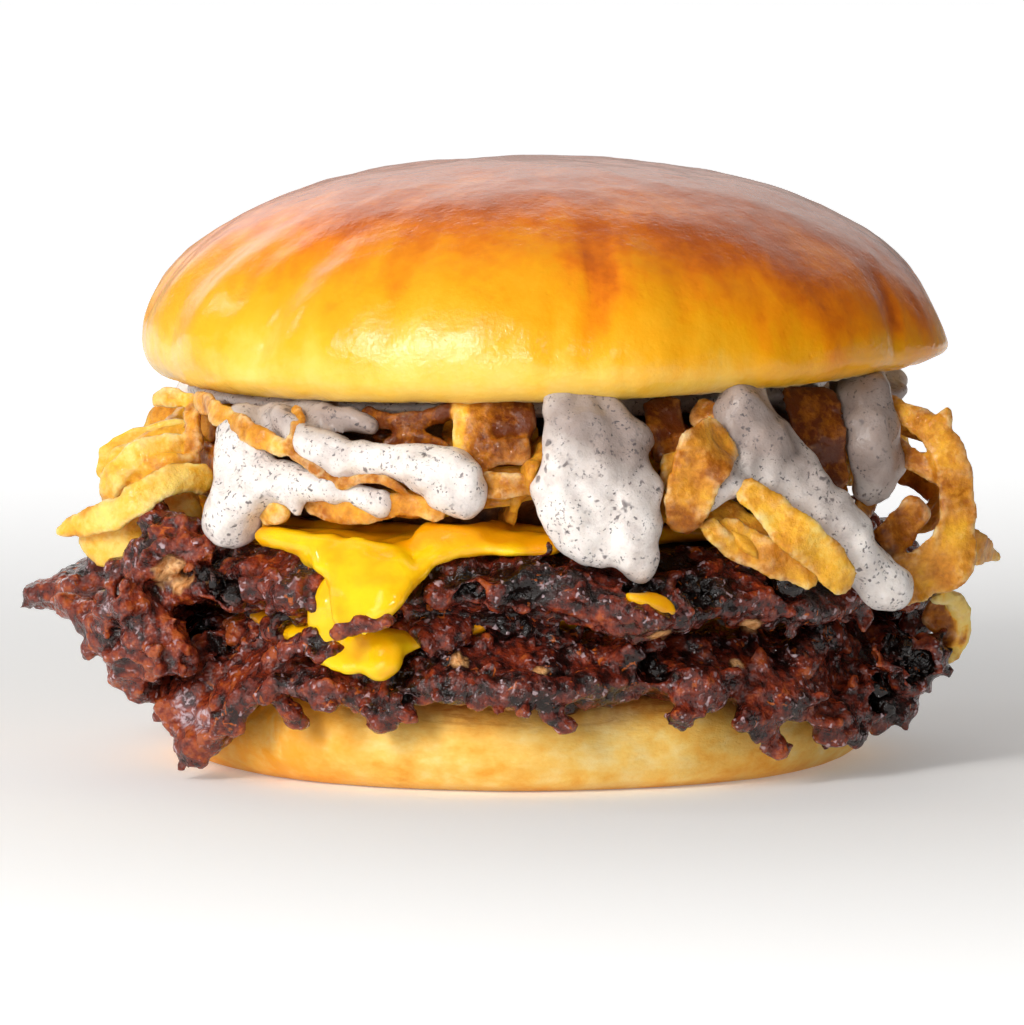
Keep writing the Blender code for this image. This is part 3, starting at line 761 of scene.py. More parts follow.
# lumps of the upper patty that hang below its wing, and over the lower slice: pixel, radius, half sizes
HUNG_LUMPS = (
    (72, 606, 62.5, 3.0, 1.8, 2.2), (90, 616, 61.0, 3.4, 2.6, 3.0), (104, 630, 60.0, 3.4, 3.0, 3.2),
    (118, 640, 59.0, 3.8, 3.4, 3.4), (132, 652, 58.0, 3.6, 3.4, 3.4), (128, 668, 57.0, 2.6, 2.8, 3.0),
    (140, 684, 56.0, 2.8, 2.8, 2.8), (150, 634, 58.0, 4.4, 3.6, 3.4), (168, 650, 56.5, 4.4, 3.6, 3.2),
    (134, 606, 60.5, 3.0, 2.2, 3.2), (112, 612, 61.0, 2.6, 2.0, 3.0), (910, 668, 57.0, 3.2, 2.6, 3.0),
    (926, 650, 58.5, 2.8, 2.8, 2.6), (934, 664, 58.5, 1.8, 2.0, 2.0), (896, 654, 56.6, 3.2, 2.6, 2.8),
    (904, 682, 56.4, 3.0, 2.4, 2.6), (918, 672, 57.6, 2.6, 2.4, 2.4), (155, 501, 55.5, 0.8, 1.5, 0.9),
    (161, 512, 55.8, 1.5, 1.8, 1.6), (173, 524, 55.5, 2.4, 1.8, 2.0), (189, 530, 54.5, 2.2, 1.8, 1.8),
    (154, 530, 57.0, 1.5, 1.8, 1.5), (142, 556, 58.5, 2.4, 1.7, 2.0), (167, 545, 57.0, 3.0, 2.2, 2.2),
    (190, 550, 55.6, 3.0, 2.4, 2.2), (118, 570, 60.0, 3.0, 1.6, 2.2), (146, 567, 58.8, 3.8, 2.2, 2.6),
    (629, 609, 57.4, 2.0, 1.0, 1.6), (642, 619, 57.4, 2.2, 1.2, 1.6), (679, 598, 57.0, 1.4, 0.9, 1.2),
    (684, 612, 57.4, 1.5, 1.4, 1.5), (655, 617, 57.9, 1.0, 0.7, 0.9),
)
# drips of fat and crumbs of the lower patty that hang over the bottom bun, the same way
LOW_LUMPS = (
    (290, 714, 52.6, 1.7, 1.3, 1.2), (296, 722, 52.0, 1.0, 0.8, 0.8), (374, 714, 53.0, 2.0, 1.2, 1.2),
    (386, 722, 52.4, 1.5, 1.1, 1.0), (398, 716, 53.0, 1.6, 1.0, 1.0), (560, 716, 53.0, 1.8, 0.9, 1.0),
    (682, 716, 53.2, 1.6, 1.1, 1.1), (752, 716, 53.4, 2.4, 1.4, 1.4), (764, 728, 52.8, 2.0, 1.4, 1.2),
    (772, 740, 52.0, 1.7, 1.5, 1.0), (778, 750, 51.4, 1.1, 1.0, 0.8), (840, 726, 54.0, 2.6, 1.6, 1.6),
)
NODULES = ((172, 573, 2.4, 3.0), (744, 640, 1.5, 1.6))     # pixel, radius and how far it stands out
# pits, dented and painted dark as the shade in them; nuts; and pale fat with a painted highlight: pixel and
# radius
SHADED_PITS = (
    (206, 584, 2.4), (226, 592, 2.4), (200, 632, 2.2), (222, 640, 2.4), (648, 584, 2.8), (700, 588, 2.6),
    (790, 578, 2.4), (905, 640, 3.2), (920, 668, 2.6), (885, 694, 2.4), (470, 596, 1.8), (655, 668, 1.8),
)
TAN_MARKS = (
    (172, 573, 2.5), (737, 665, 0.9), (750, 625, 1.3), (660, 635, 1.2), (460, 660, 1.1), (540, 672, 0.9),
)
# pale fat film, painted paler as a highlight on it
FAT_AND_HIGHLIGHT_MARKS = ((190, 712, 2.2), (204, 722, 1.6), (180, 704, 1.3), (105, 604, 0.9), (740, 668, 0.7))
# by node: seed, size of the quads, a shift of its tone
# and its larger lumps: how many, seed, on the upper (1) or lower side (-1), and sizes
PATTIES = {
    "patty_lower": (11, 0.48, 0.06, ((60, 31, 1.0, (1.6, 2.8)), (40, 32, -1.0, (1.3, 2.2)))),
    "patty_upper": (12, 0.51, 0.0, ((90, 33, -1.0, (2.0, 3.6)), (30, 34, 1.0, (1.4, 2.4)))),
}


def skirt_samples(node, count, seed, inner):
    """Places and normals spread evenly over a solid outside a radius."""
    points, triangles = node_mesh(node)
    draw = np.random.default_rng(seed)
    a, b, c = (points[triangles[:, index]] for index in range(3))
    cross = np.cross(b - a, c - a)
    area = np.linalg.norm(cross, axis=1) / 2
    middle = (a + b + c) / 3
    area = area * (np.hypot(middle[:, 0], middle[:, 1]) > inner)
    chosen = draw.choice(len(triangles), size=count, p=area / area.sum())
    u, v = draw.random(count), draw.random(count)
    over = u + v > 1.0
    u[over], v[over] = 1.0 - u[over], 1.0 - v[over]
    places = a[chosen] + (b[chosen] - a[chosen]) * u[:, None] + (c[chosen] - a[chosen]) * v[:, None]
    normals = cross[chosen] / np.maximum(np.linalg.norm(cross[chosen], axis=1, keepdims=True), 1e-9)
    return zip(places, normals)


def crumbs(node, seed):
    """Lumps and strands of minced meat over the outer part of a patty."""
    draw = random.Random(seed)
    parts = []
    for place, normal in skirt_samples(node, PATTY_CRUMBS, seed, 42.5):
        size = 0.75 + 1.35 * draw.random() ** 2.2
        length = size * draw.choice((1.0, 1.2, 1.6, 2.4))
        sink = draw.uniform(0.0, 0.7) * size
        axes = tangent_axes(normal, draw.uniform(0.0, math.pi))
        parts.append(blob(place - normal * sink, axes, (length, size, size * draw.uniform(0.7, 1.1))))
    return parts


def clumps(node, count, seed, facing, sizes):
    """Larger lumps on the upper or the lower side of a skirt, but few where the cheese runs down."""
    draw = random.Random(seed)
    parts = []
    for place, normal in skirt_samples(node, 6 * count, seed, 46.5):
        bearing = math.degrees(math.atan2(place[1], place[0])) % 360.0
        if normal[2] * facing < 0.1 or len(parts) >= count:
            continue
        if CHEESE_BEARINGS[0] < bearing < CHEESE_BEARINGS[1] and draw.random() < 0.85:
            continue
        size = draw.uniform(*sizes)
        axes = tangent_axes(normal, draw.uniform(0.0, math.pi))
        shape = (size * draw.uniform(1.0, 1.5), size * draw.uniform(0.8, 1.1), size * draw.uniform(0.6, 0.9))
        lift = np.array((0.0, 0.0, facing * 0.35 * size))
        parts.append(blob(place + lift, axes, shape))
        for _ in range(7):
            offset = axes.T @ (np.array([draw.gauss(0.0, 0.6) for _ in range(3)]) * np.array(shape))
            small = size * draw.uniform(0.25, 0.5)
            parts.append(blob(place + offset + lift, axes, (small * draw.uniform(1.0, 1.8), small, small)))
    return parts


def crumbed(draw, place, axes, shape, share, most):
    """A lump of meat with this many crumbs for each millimetre of its half length."""
    parts = [blob(place, axes, shape)]
    for _ in range(int(share * shape[0])):
        spot = np.array([draw.uniform(-1.0, 1.0) for _ in range(3)])
        offset = axes.T @ (spot * np.array(shape))
        small = draw.uniform(0.5, most)
        parts.append(blob(place + offset, axes, (small * draw.uniform(1.0, 2.0), small, small)))
    return parts


def seen_lumps(sight, lumps, seed):
    """Lumps of meat where solids stand behind their pixels."""
    draw = random.Random(seed)
    parts = []
    for across, down, *shape, turn in lumps:
        found = sight.at(across, down)
        if found is not None:
            place, normal = found
            parts += crumbed(draw, place, tangent_axes(normal, math.radians(turn)), shape, 4, 1.1)
    return parts


def hung_lumps(lumps, seed):
    """Lumps of meat at pixels and a radius."""
    draw = random.Random(seed)
    parts = []
    for across, down, radius, *shape in lumps:
        place = seen(across, down, radius)
        parts += crumbed(draw, place, upright_axes(place, draw.uniform(-0.5, 0.5)), shape, 5, 1.2)
    return parts


def make_patty(node, seed, voxel, extras):
    """A patty with a craggy skirt of minced meat, and its colour values."""
    skin = voxel_skin([node_mesh(node)] + crumbs(node, seed) + extras, voxel)
    skin.without_crumbs(150).without_middle(39.0)
    skin.relax(3, 0.5)
    outside = skin.outside(41.0, 3.0)
    amount = 0.30 * rough(skin.points, 2.2, seed + 1)
    amount -= 0.55 * held(0.25 - np.abs(rough(skin.points, 2.6, seed + 3))) * 2.0
    amount += 0.16 * rough(skin.points, 1.0, seed + 2)
    skin.push(amount * outside)
    pits = skin.blur(mark(skin, skin.sight(), SHADED_PITS, 63), 3)
    for _ in range(3):
        skin.push(-0.8 * pits)
    skin.relax(1, 0.3)
    shown = skin.sight()
    x = skin.points[:, 0]
    # the pits are painted darker too: painted shade
    sear_light_and_shade = rough(skin.points, 7.0, seed + 5, 3) - 0.9 * mark(skin, shown, SHADED_PITS, 63)
    # painted light towards the left, where the light falls, and painted shade in the middle
    sear_light_and_shade += 0.55 * held((-24.0 - x) / 18.0)
    sear_light_and_shade -= 0.25 * np.exp(-((x - 4.0) / 16.0) ** 2)
    return skin, {
        "hollow": np.clip(skin.hollow(10) / 0.5, -1.0, 1.0) * outside, "sear_light_and_shade": sear_light_and_shade,
        "tan": mark(skin, shown, TAN_MARKS, 61), "pale": mark(skin, shown, FAT_AND_HIGHLIGHT_MARKS, 62),
    }


# ---- cheese -------------------------------------------------------------------------------------
MELT_DEPTH = 1.3
RUN_DEPTH, PATCH_DEPTH = 1.4, 1.3
# melt that runs along pixels, on the solids behind them: (across, down, half width) at each stop
UPPER_FLOWS = (
    ((312, 560, 1.6), (334, 566, 2.4), (352, 580, 2.6)),
    ((352, 556, 3.0), (372, 572, 5.0), (382, 590, 4.6), (378, 604, 3.4)),
    ((430, 540, 2.4), (470, 538, 2.2), (520, 528, 2.0), (546, 524, 1.6)),
    ((268, 538, 1.6), (300, 544, 1.8), (330, 548, 2.0)),
)
LOWER_FLOWS = (
    ((360, 644, 1.6), (380, 646, 3.0), (384, 658, 3.0), (378, 668, 1.8)),
)
# the run between the slices at the left: pixel, radius and half width
LOWER_RUN = ((342, 590, 53.6, 2.8), (334, 604, 53.8, 3.4), (328, 618, 53.8, 3.0), (325, 630, 53.2, 2.0))
# the melt that comes out between the patties right of the middle, the same way, and its middle
LOWER_PATCH = (
    (648, 606, 45.0, 1.6), (649, 606, 49.0, 1.7), (650, 605, 53.0, 1.8), (648, 604, 56.0, 1.9),
    (629, 595, 57.5, 0.9), (637, 598, 57.7, 1.2), (645, 601, 57.6, 1.6), (654, 605, 57.3, 2.0),
    (663, 607, 57.4, 1.8), (671, 612, 57.7, 1.2), (660, 615, 57.6, 1.1),
)
PATCH_MIDDLE = (650, 604, 57.0)


def melt_roll(node, seed):
    """A swelling round a slice's upper face, where the melted cheese meets what lies on it."""
    points, triangles = node_mesh(node)
    tree = BVHTree.FromPolygons(points.tolist(), triangles.tolist())
    draw = random.Random(seed)
    parts = []
    for index in range(MELT_LUMPS):
        bearing = 360.0 * (index + draw.uniform(-0.4, 0.4)) / MELT_LUMPS
        spot = around(bearing, draw.uniform(41.0, 44.0), 60.0)
        place, normal, _, _ = tree.ray_cast(spot, Vector((0.0, 0.0, -1.0)))
        size = draw.uniform(1.0, 2.1)
        if place is not None and normal.z > 0.8:
            shape = (1.5 * size, 0.85, size)
            parts.append(blob(np.array(place) + (0.0, 0.0, 0.25), upright_axes(place), shape))
    return parts


def melt_flow(sight, route):
    """Melted cheese that runs over the solids behind its pixels."""
    rows = []
    for across, down, half in smooth_path(route, 20):
        found = sight.at(across, down)
        if found is not None:
            rows.append((*found[0], *found[1], half))
    rows = np.array(rows)
    for _ in range(5):
        rows[1:-1] = 0.25 * rows[:-2] + 0.5 * rows[1:-1] + 0.25 * rows[2:]
    parts = []
    for row in rows:
        axes = tangent_axes(row[3:6], 0.0)
        parts.append(blob(row[:3] + 0.4 * axes[2], axes, (row[6], row[6], min(row[6], MELT_DEPTH))))
    return parts


def melt_drops(stops, depth):
    """Melted cheese at pixels and a radius."""
    parts = []
    for across, down, radius, half in stops:
        place = seen(across, down, radius)
        parts.append(blob(place, upright_axes(place), (half, half, depth)))
    return parts


def make_cheese(node, seed, extras):
    """A melted slice with rounded, glossy edges."""
    skin = voxel_skin([node_mesh(node)] + extras, CHEESE_VOXEL).without_crumbs(400).without_middle(37.0)
    outside = skin.outside(38.5, 4.0)
    skin.relax_where(outside, 11, 0.6)
    folds = rough(skin.points * (0.55, 0.55, 1.7), 3.4, seed + 2)
    swell = 0.22 + 0.30 * rough(skin.points, 6.0, seed) + 0.08 * rough(skin.points, 2.2, seed + 1)
    skin.push(outside * swell)
    skin.push(outside * 0.22 * folds)
    # painted shade: darker orange where the melt lies in under the sauce and onions, and between the patties
    away = np.linalg.norm(skin.points - seen(*PATCH_MIDDLE), axis=1)
    deep = np.maximum(held((53.4 - skin.radius()) / 3.0), 0.55 * held(2.0 - away / 4.0))
    return skin, {"hollow": np.clip(skin.hollow(8) / 0.5, -1.0, 1.0), "deep": deep}


# ---- fried onions -------------------------------------------------------------------------------
THIN_END = 0.55             # how wide a loop is at its ends, as a share of its width


def heap_radius(height):
    """How far the heap's core reaches at a height."""
    share = (height - HEAP_BOTTOM) / (HEAP_TOP - HEAP_BOTTOM)
    foot = HEAP_FOOT * ease(1.0 - share / 0.2)
    shoulder = HEAP_ROUND * max(0.0, (share - 0.42) / 0.58) ** 2.2
    return HEAP_RADIUS - foot - shoulder


class Loop(NamedTuple):
    """Part of an onion ring, as in the solids.

    Its middle stands at a bearing, a radius (hub) and a height. Its half axes run outward (out) and
    up (rise), the second rolled over sideways. It goes from a start angle to an end angle, with a
    width and a twist of its ribbon. All angles are in degrees.
    """
    bearing: float
    hub: float
    height: float
    out: float
    rise: float
    roll: float
    start: float
    end: float
    width: float
    twist: float = 0.0

    def ribbon(self, seed, thick, steps, wander=0.8):
        """The loop as a crinkled, cupped and ragged ribbon."""
        outward = np.array(around(self.bearing, 1.0, 0.0))
        sideways = np.cross((0.0, 0.0, 1.0), outward)
        roll = math.radians(self.roll)
        climb = np.array((0.0, 0.0, math.cos(roll))) + sideways * math.sin(roll)
        axis = np.cross(outward, climb)
        draw = random.Random(seed)
        phase = [draw.uniform(0.0, 40.0) for _ in range(6)]
        rows = []
        for step in range(steps):
            share = step / (steps - 1)
            angle = math.radians(self.start + (self.end - self.start) * share)
            radial = outward * math.cos(angle) + climb * math.sin(angle)
            place = np.array(around(self.bearing, self.hub, self.height))
            place = place + outward * self.out * math.cos(angle) + climb * self.rise * math.sin(angle)
            place = place + radial * wander * noise.noise((share * 7, phase[0], 0.0))
            place = place + axis * wander * noise.noise((share * 6, phase[1], 0.0))
            bend = math.radians(self.twist) + 0.5 * noise.noise((share * 4, phase[2], 0.0))
            broad = axis * math.cos(bend) + radial * math.sin(bend)
            thin = radial * math.cos(bend) - axis * math.sin(bend)
            crinkle = 1.0 + 0.14 * math.sin(share * 6 * 2.4 + self.bearing)
            taper = THIN_END + (1.0 - THIN_END) * math.sin(math.pi * (0.12 + 0.76 * share))
            ragged = 1.0 + 0.22 * noise.noise((share * 16, phase[3], 0.0))
            rows.append((place, broad, thin, self.width / 2 * crinkle * taper * ragged))
        return ribbon_part(rows, thick, phase[4], draw.uniform(0.1, 0.34))


def ribbon_part(rows, thick, phase, cup):
    """A cupped strip with soft uneven edges through (place, axis across, axis outward, half width)."""
    sweep = [math.cos(math.pi * (index + 0.5) / RIBBON_FACE_SIDES) for index in range(RIBBON_FACE_SIDES)]
    rings = []
    for step, (place, broad, thin, half) in enumerate(rows):
        ends = min(step, len(rows) - 1 - step)
        body = thick / 2 * min(1.0, 0.45 + 0.28 * ends)
        half = half * min(1.0, 0.42 + 0.24 * ends)
        ring = []
        for side, order in ((1.0, sweep), (-1.0, sweep[::-1])):
            for t in order:
                edge = math.sqrt(max(0.0, 1.0 - 0.72 * t ** 4))
                lift = cup * half * (t * t - 0.4)
                lump = 0.26 * noise.noise((step * 0.34, t * 1.7 + phase, side * 2.0))
                frill = half * (1.0 + 0.10 * noise.noise((step * 0.40, phase + 9.0, round(t) * 3.0)))
                ring.append(place + broad * t * frill + thin * (lift + side * (body * edge + lump * 0.5)))
        rings.append(ring)
    return ring_part(rings)


SHOWN_LOOPS = (
    Loop(187, 45, 37.6, 9.0, 5.0, 8, 150, -42, 5.0, 38),
    Loop(174, 44, 38.0, 10.6, 5.0, 24, 140, -56, 5.0, 60),
    Loop(198, 40, 41.0, 7.5, 3.4, 30, 140, -50, 4.0, 30),
    Loop(272, 37, 42.0, 11.5, 5.0, 25, 60, -80, 6.5, 90),
    Loop(296, 37.5, 40.5, 11.0, 5.0, 20, 90, -60, 7.0, 85),
    Loop(305, 42, 32.4, 14.0, 10.0, -45, 125, -26, 5.6, 12),
    Loop(357, 46, 37.5, 13.2, 8.2, 6, 150, -60, 5.0, 30),
    Loop(6, 44, 34.5, 13.6, 7.0, 40, 120, -40, 5.0, 55),
)
# tones of the loops, with painted light on those at the left and painted shade on those at the right
SHOWN_TONES = (0.74, 0.86, 0.62, 0.50, 0.46, 0.62, 0.50, 0.42)
BACK_START = 21.0
BACK_STEP = 23.0
BACK_PAIRS = 7
STRIPS = 8
STRIP_REACH = 47.4
TANGLE = 64


def back_loops():
    """Standing loops at the back, where the solids have them."""
    draw = random.Random(41)
    return [
        Loop(
            BACK_START + BACK_STEP * index + draw.uniform(-2.0, 2.0), draw.uniform(40, 44),
            draw.uniform(39.0, 41.0), draw.uniform(9, 15), draw.uniform(4.5, 6.0), draw.uniform(0, 22),
            130, -45, draw.uniform(4.5, 6.5), draw.uniform(10, 60),
        )
        for index in range(BACK_PAIRS)
    ]


def lying_loops():
    """Strips that lie along the heap, where the solids have them."""
    draw = random.Random(5)
    loops = []
    for index in range(STRIPS):
        bearing = 360.0 * (index + draw.uniform(-0.2, 0.2)) / STRIPS
        bend = draw.uniform(24, 28)
        width = draw.uniform(3.6, 5.4)
        tilt = draw.choice((-1, 1)) * draw.uniform(78, 86)
        height = draw.uniform(38.8, 42.0)
        loops.append(Loop(bearing, STRIP_REACH - bend, height, bend, bend, tilt, 52, -52, width))
    return loops


def tangle_loops():
    """Thinner strips of onion wound over the heap between the larger ones."""
    draw = random.Random(23)
    loops = []
    for index in range(TANGLE):
        bearing = 360.0 * (index + draw.uniform(-0.4, 0.4)) / TANGLE
        bend = draw.uniform(12, 26)
        height = draw.uniform(36.5, 46.5)
        tilt = draw.choice((-1, 1)) * draw.uniform(35, 88)
        reach = heap_radius(min(height, 44.0)) + draw.uniform(-0.4, 1.4)
        rise = bend if abs(tilt) > 70 else min(bend, 7.0)
        arc = draw.uniform(28, 50)
        width = draw.uniform(2.2, 4.4)
        loops.append(Loop(
            bearing, reach - bend, height, bend, rise, tilt, arc, -arc, width, draw.uniform(-25, 25),
        ))
    return loops


STRIP_THICK = 1.25
# strips that show at the front: pixels and radii, widths along the strip, tone (its own colour, with painted
# shade on those under the bun and on the right, and painted light at the left), how far its face is turned
# from outward in degrees, and how much of the sideways part of outward it keeps
SEEN_STRIPS = (
    # left side, painted bright where the light falls
    (((200, 448, 47), (172, 446, 52), (142, 454, 56), (120, 470, 58), (111, 490, 58.5), (114, 512, 57)),
     (3.0, 3.6, 3.8, 3.8, 3.2), 0.92, 0, 0.3),
    (((200, 470, 48), (170, 468, 53), (146, 480, 55.5), (132, 498, 56)), (3.6, 4.4, 5.0, 4.6),
     0.66, 0, 0.3),
    (((214, 480, 48), (180, 478, 53), (152, 490, 57), (124, 510, 60), (92, 522, 62), (56, 531, 65)),
     (3.8, 4.2, 4.4, 4.4, 2.2), 0.86, 0, 0.3),
    (((200, 512, 47), (165, 518, 52), (134, 532, 57), (104, 543, 60), (80, 538, 62)), (6.0, 7.6, 7.0, 3.8),
     0.92, 0, 0.3),
    (((198, 492, 47), (165, 504, 51), (138, 524, 55), (122, 542, 57)), (6.0, 7.0, 5.0), 1.0, 20, 0.3),
    (((152, 402, 52), (170, 397, 50), (198, 402, 47)), (1.6, 2.6, 2.4), 0.86, 0, 0.3),
    (((192, 408, 48), (194, 428, 49), (197, 452, 49)), (2.6, 2.6, 2.8), 0.5, 0, 0.3),
    (((198, 398, 48), (213, 409, 51), (236, 424, 52.6), (262, 438, 53.4), (290, 453, 53.6)),
     (2.4, 3.2, 3.4, 3.2, 1.6), 0.62, 0, 0.5),
    (((290, 450, 53.6), (299, 428, 51.6), (296, 408, 49)), (1.6, 1.8, 1.6), 0.5, 0, 0.5),
    (((288, 452, 53.4), (312, 466, 53.2), (338, 484, 52.6), (362, 478, 52.8), (384, 480, 52.8),
     (406, 492, 52.4)), (1.0, 1.3, 1.6, 1.5, 1.5, 1.0), 0.4, 0, 0.5),
    # middle
    (((461, 398, 46.5), (460, 430, 48.5), (462, 478, 49.5)), (2.2, 2.4, 2.0), 0.84, 0, 0.5),
    (((480, 400, 46.5), (479, 432, 48.6), (480, 474, 49.4)), (3.0, 3.3, 3.0), 0.34, 0, 0.5),
    (((512, 398, 45.5), (514, 424, 47.5), (508, 446, 48)), (5.4, 5.8, 4.2), 0.12, 0, 0.5),
    (((474, 462, 48.8), (500, 452, 49.2), (530, 452, 49)), (3.8, 3.6, 3.4), 0.38, 0, 0.5),
    (((468, 488, 50.4), (500, 485, 50.8), (540, 486, 50.2)), (3.4, 3.4, 3.0), 0.48, 0, 0.5),
    (((362, 412, 46), (396, 422, 47.4), (440, 414, 47), (462, 404, 46)), (2.2, 2.4, 2.0), 0.05, 0, 0.5),
    (((384, 448, 47.4), (414, 440, 47.8), (450, 448, 47.6)), (2.0, 2.2, 2.0), 0.12, 0, 0.5),
    (((306, 503, 50.5), (350, 511, 51.2), (410, 505, 51.4), (446, 514, 50.6)), (3.2, 3.4, 3.4, 2.6),
     0.58, 0, 0.5),
    (((262, 520, 52), (276, 512, 52.5), (288, 516, 52.5)), (2.4, 3.0, 2.2), 0.66, 0, 0.5),
    # right of the middle
    (((726, 432, 54), (704, 458, 56), (690, 494, 56), (680, 532, 54)), (6.0, 8.2, 6.8, 4.2), 0.38, 0, 0.3),
    (((694, 408, 48), (716, 420, 51), (742, 424, 52)), (3.6, 5.0, 3.6), 0.34, 0, 0.3),
    (((672, 452, 50.5), (674, 480, 51.4), (682, 506, 51)), (3.0, 3.6, 3.0), 0.58, 0, 0.5),
    (((660, 398, 46), (666, 430, 48), (672, 462, 49)), (5.0, 5.6, 4.6), 0.14, 0, 0.5),
    (((736, 484, 56.5), (768, 508, 58.5), (798, 536, 60.5), (828, 562, 62), (848, 590, 62.4)),
     (2.6, 4.8, 5.6, 5.6, 3.8), 0.76, 0, 0.3),
    (((712, 526, 54), (746, 546, 56), (784, 564, 58), (818, 580, 59.5)), (4.0, 5.0, 4.8, 3.0),
     0.62, 0, 0.3),
    (((706, 520, 55), (718, 536, 55.5), (734, 552, 55)), (2.6, 3.0, 2.0), 0.78, 0, 0.3),
    (((806, 386, 47), (812, 430, 49), (828, 492, 51)), (8.0, 9.0, 7.0), 0.02, 0, 0.3),
    (((900, 404, 47), (884, 440, 49), (872, 478, 51), (858, 520, 53)), (4.0, 4.6, 4.6, 3.4), 0.26, 0, 0.3),
    # right side
    (((868, 398, 50), (900, 412, 56), (930, 430, 60), (948, 455, 62.5), (955, 490, 63.5), (956, 525, 64),
     (946, 556, 63), (918, 584, 60)), (3.0, 3.4, 3.8, 5.0, 4.8, 5.4, 8.4, 8.0), 0.5, 0, 0.12),
    (((886, 436, 54), (906, 456, 57), (928, 468, 60), (944, 480, 62)), (2.4, 2.8, 2.8, 2.4), 0.42, 0, 0.12),
    (((932, 440, 60), (941, 424, 61.5), (948, 408, 62)), (3.4, 2.8, 1.0), 0.54, 0, 0.12),
    (((950, 478, 62), (958, 464, 63), (964, 452, 63.5)), (3.0, 2.4, 1.0), 0.54, 0, 0.12),
    (((950, 540, 63), (976, 548, 65), (999, 558, 66)), (5.6, 4.4, 1.2), 0.56, 0, 0.12),
    (((882, 548, 56), (904, 524, 58), (922, 500, 60)), (5.0, 5.4, 4.0), 0.3, 0, 0.12),
    (((950, 560, 61), (912, 576, 59), (876, 596, 57)), (6.4, 7.6, 5.6), 0.5, 0, 0.12),
    (((926, 604, 58), (942, 616, 59.8), (948, 634, 60.4), (940, 652, 59)), (4.0, 5.0, 4.6, 2.6),
     0.24, 0, 0.12),
    (((930, 600, 59.5), (953, 599, 61.6), (964, 622, 62.4), (957, 648, 61.4), (938, 666, 59.4)),
     (1.6, 2.0, 2.2, 2.0, 1.4), 1.1, 0, 0.12),
)


def strip(route, width, seed, turn, face):
    """A strip of onion along pixels and radii."""
    draw = random.Random(seed)
    phase = [draw.uniform(0.0, 40.0) for _ in range(3)]
    path = smooth_path([seen(*stop) for stop in route], STRIP_STEPS)
    length = float(np.linalg.norm(np.diff(path, axis=0), axis=1).sum())
    rows = []
    for index, place in enumerate(path):
        share = index / (STRIP_STEPS - 1)
        along = path[min(index + 1, STRIP_STEPS - 1)] - path[max(index - 1, 0)]
        along = along / np.linalg.norm(along)
        outward = np.array((place[0] * face, place[1], 0.0))
        outward = outward / np.linalg.norm(outward)
        across = np.cross(along, outward)
        across = across / np.linalg.norm(across)
        outward = np.cross(across, along)
        angle = math.radians(turn) + 0.35 * noise.noise((share * 3.5, phase[0], 0.0))
        broad = across * math.cos(angle) + outward * math.sin(angle)
        thin = outward * math.cos(angle) - across * math.sin(angle)
        size = np.interp(share, np.linspace(0.0, 1.0, len(width)), width)
        place = place + 0.15 * size * (0.3 + noise.noise((share * length / 3.6, phase[1], 5.0))) * thin
        ragged = min(0.25, 0.7 / size) * noise.noise((share * length / 3.4, phase[1], 0.0))
        rows.append((place, broad, thin, size / 2 * (1.0 + 1.1 * ragged)))
    return ribbon_part(rows, STRIP_THICK, phase[2], draw.uniform(0.05, 0.28))


def fused_strips(parts, tones):
    """Strips fused where they touch, with soft edges, and each corner's tone from its strip."""
    points, _, owner = join(parts)
    tree = KDTree(len(points))
    for index, point in enumerate(points.tolist()):
        tree.insert(point, index)
    tree.balance()
    skin = voxel_skin(parts, STRIP_VOXEL).without_crumbs(150)
    nearest = [tree.find(point)[1] for point in skin.points.tolist()]
    tone = skin.blur(np.asarray(tones)[owner[nearest]], 2)
    skin.relax(2, 0.5)
    skin.push(0.08 + 0.20 * rough(skin.points, 2.4, 6) + 0.07 * rough(skin.points, 1.0, 7))
    return skin, {"tone": tone + 0.16 * rough(skin.points, 5.0, 3), "edge": held(-skin.hollow(6) / 0.24)}


def add_strips(name, parts, tones, material):
    """Strips of onion as one piece, each with its own tone."""
    points, faces, owner = join(parts)
    tone = np.asarray(tones)[owner] + 0.18 * rough(points, 5.0, 3)
    values = {"tone": tone, "edge": np.zeros(len(points))}
    dress(raw_mesh(name, points, faces), "onions", material, values)


def make_heap_core():
    """The inside of the heap, painted dark as the shade between the strips, seen only through gaps between
    them.
    """
    rings = []
    for level in range(CORE_STEPS + 1):
        height = HEAP_BOTTOM + (HEAP_TOP - HEAP_BOTTOM) * level / CORE_STEPS
        ring = []
        for index in range(CORE_SIDES):
            b = 360.0 * index / CORE_SIDES
            hollow = abs(noise.noise(around(b, heap_radius(height), height) * 0.12 + Vector((3.1, 0.4, 9.2))))
            ring.append(around(b, heap_radius(height) - HEAP_HOLLOW * hollow - 0.6, height))
        rings.append(ring)
    skin = ring_skin(rings)
    height = skin.points[:, 2]
    side = held(height - HEAP_BOTTOM) * held(HEAP_TOP - height)
    skin.push(side * (0.9 * rough(skin.points, 4.0, 5) - 0.5))
    return skin


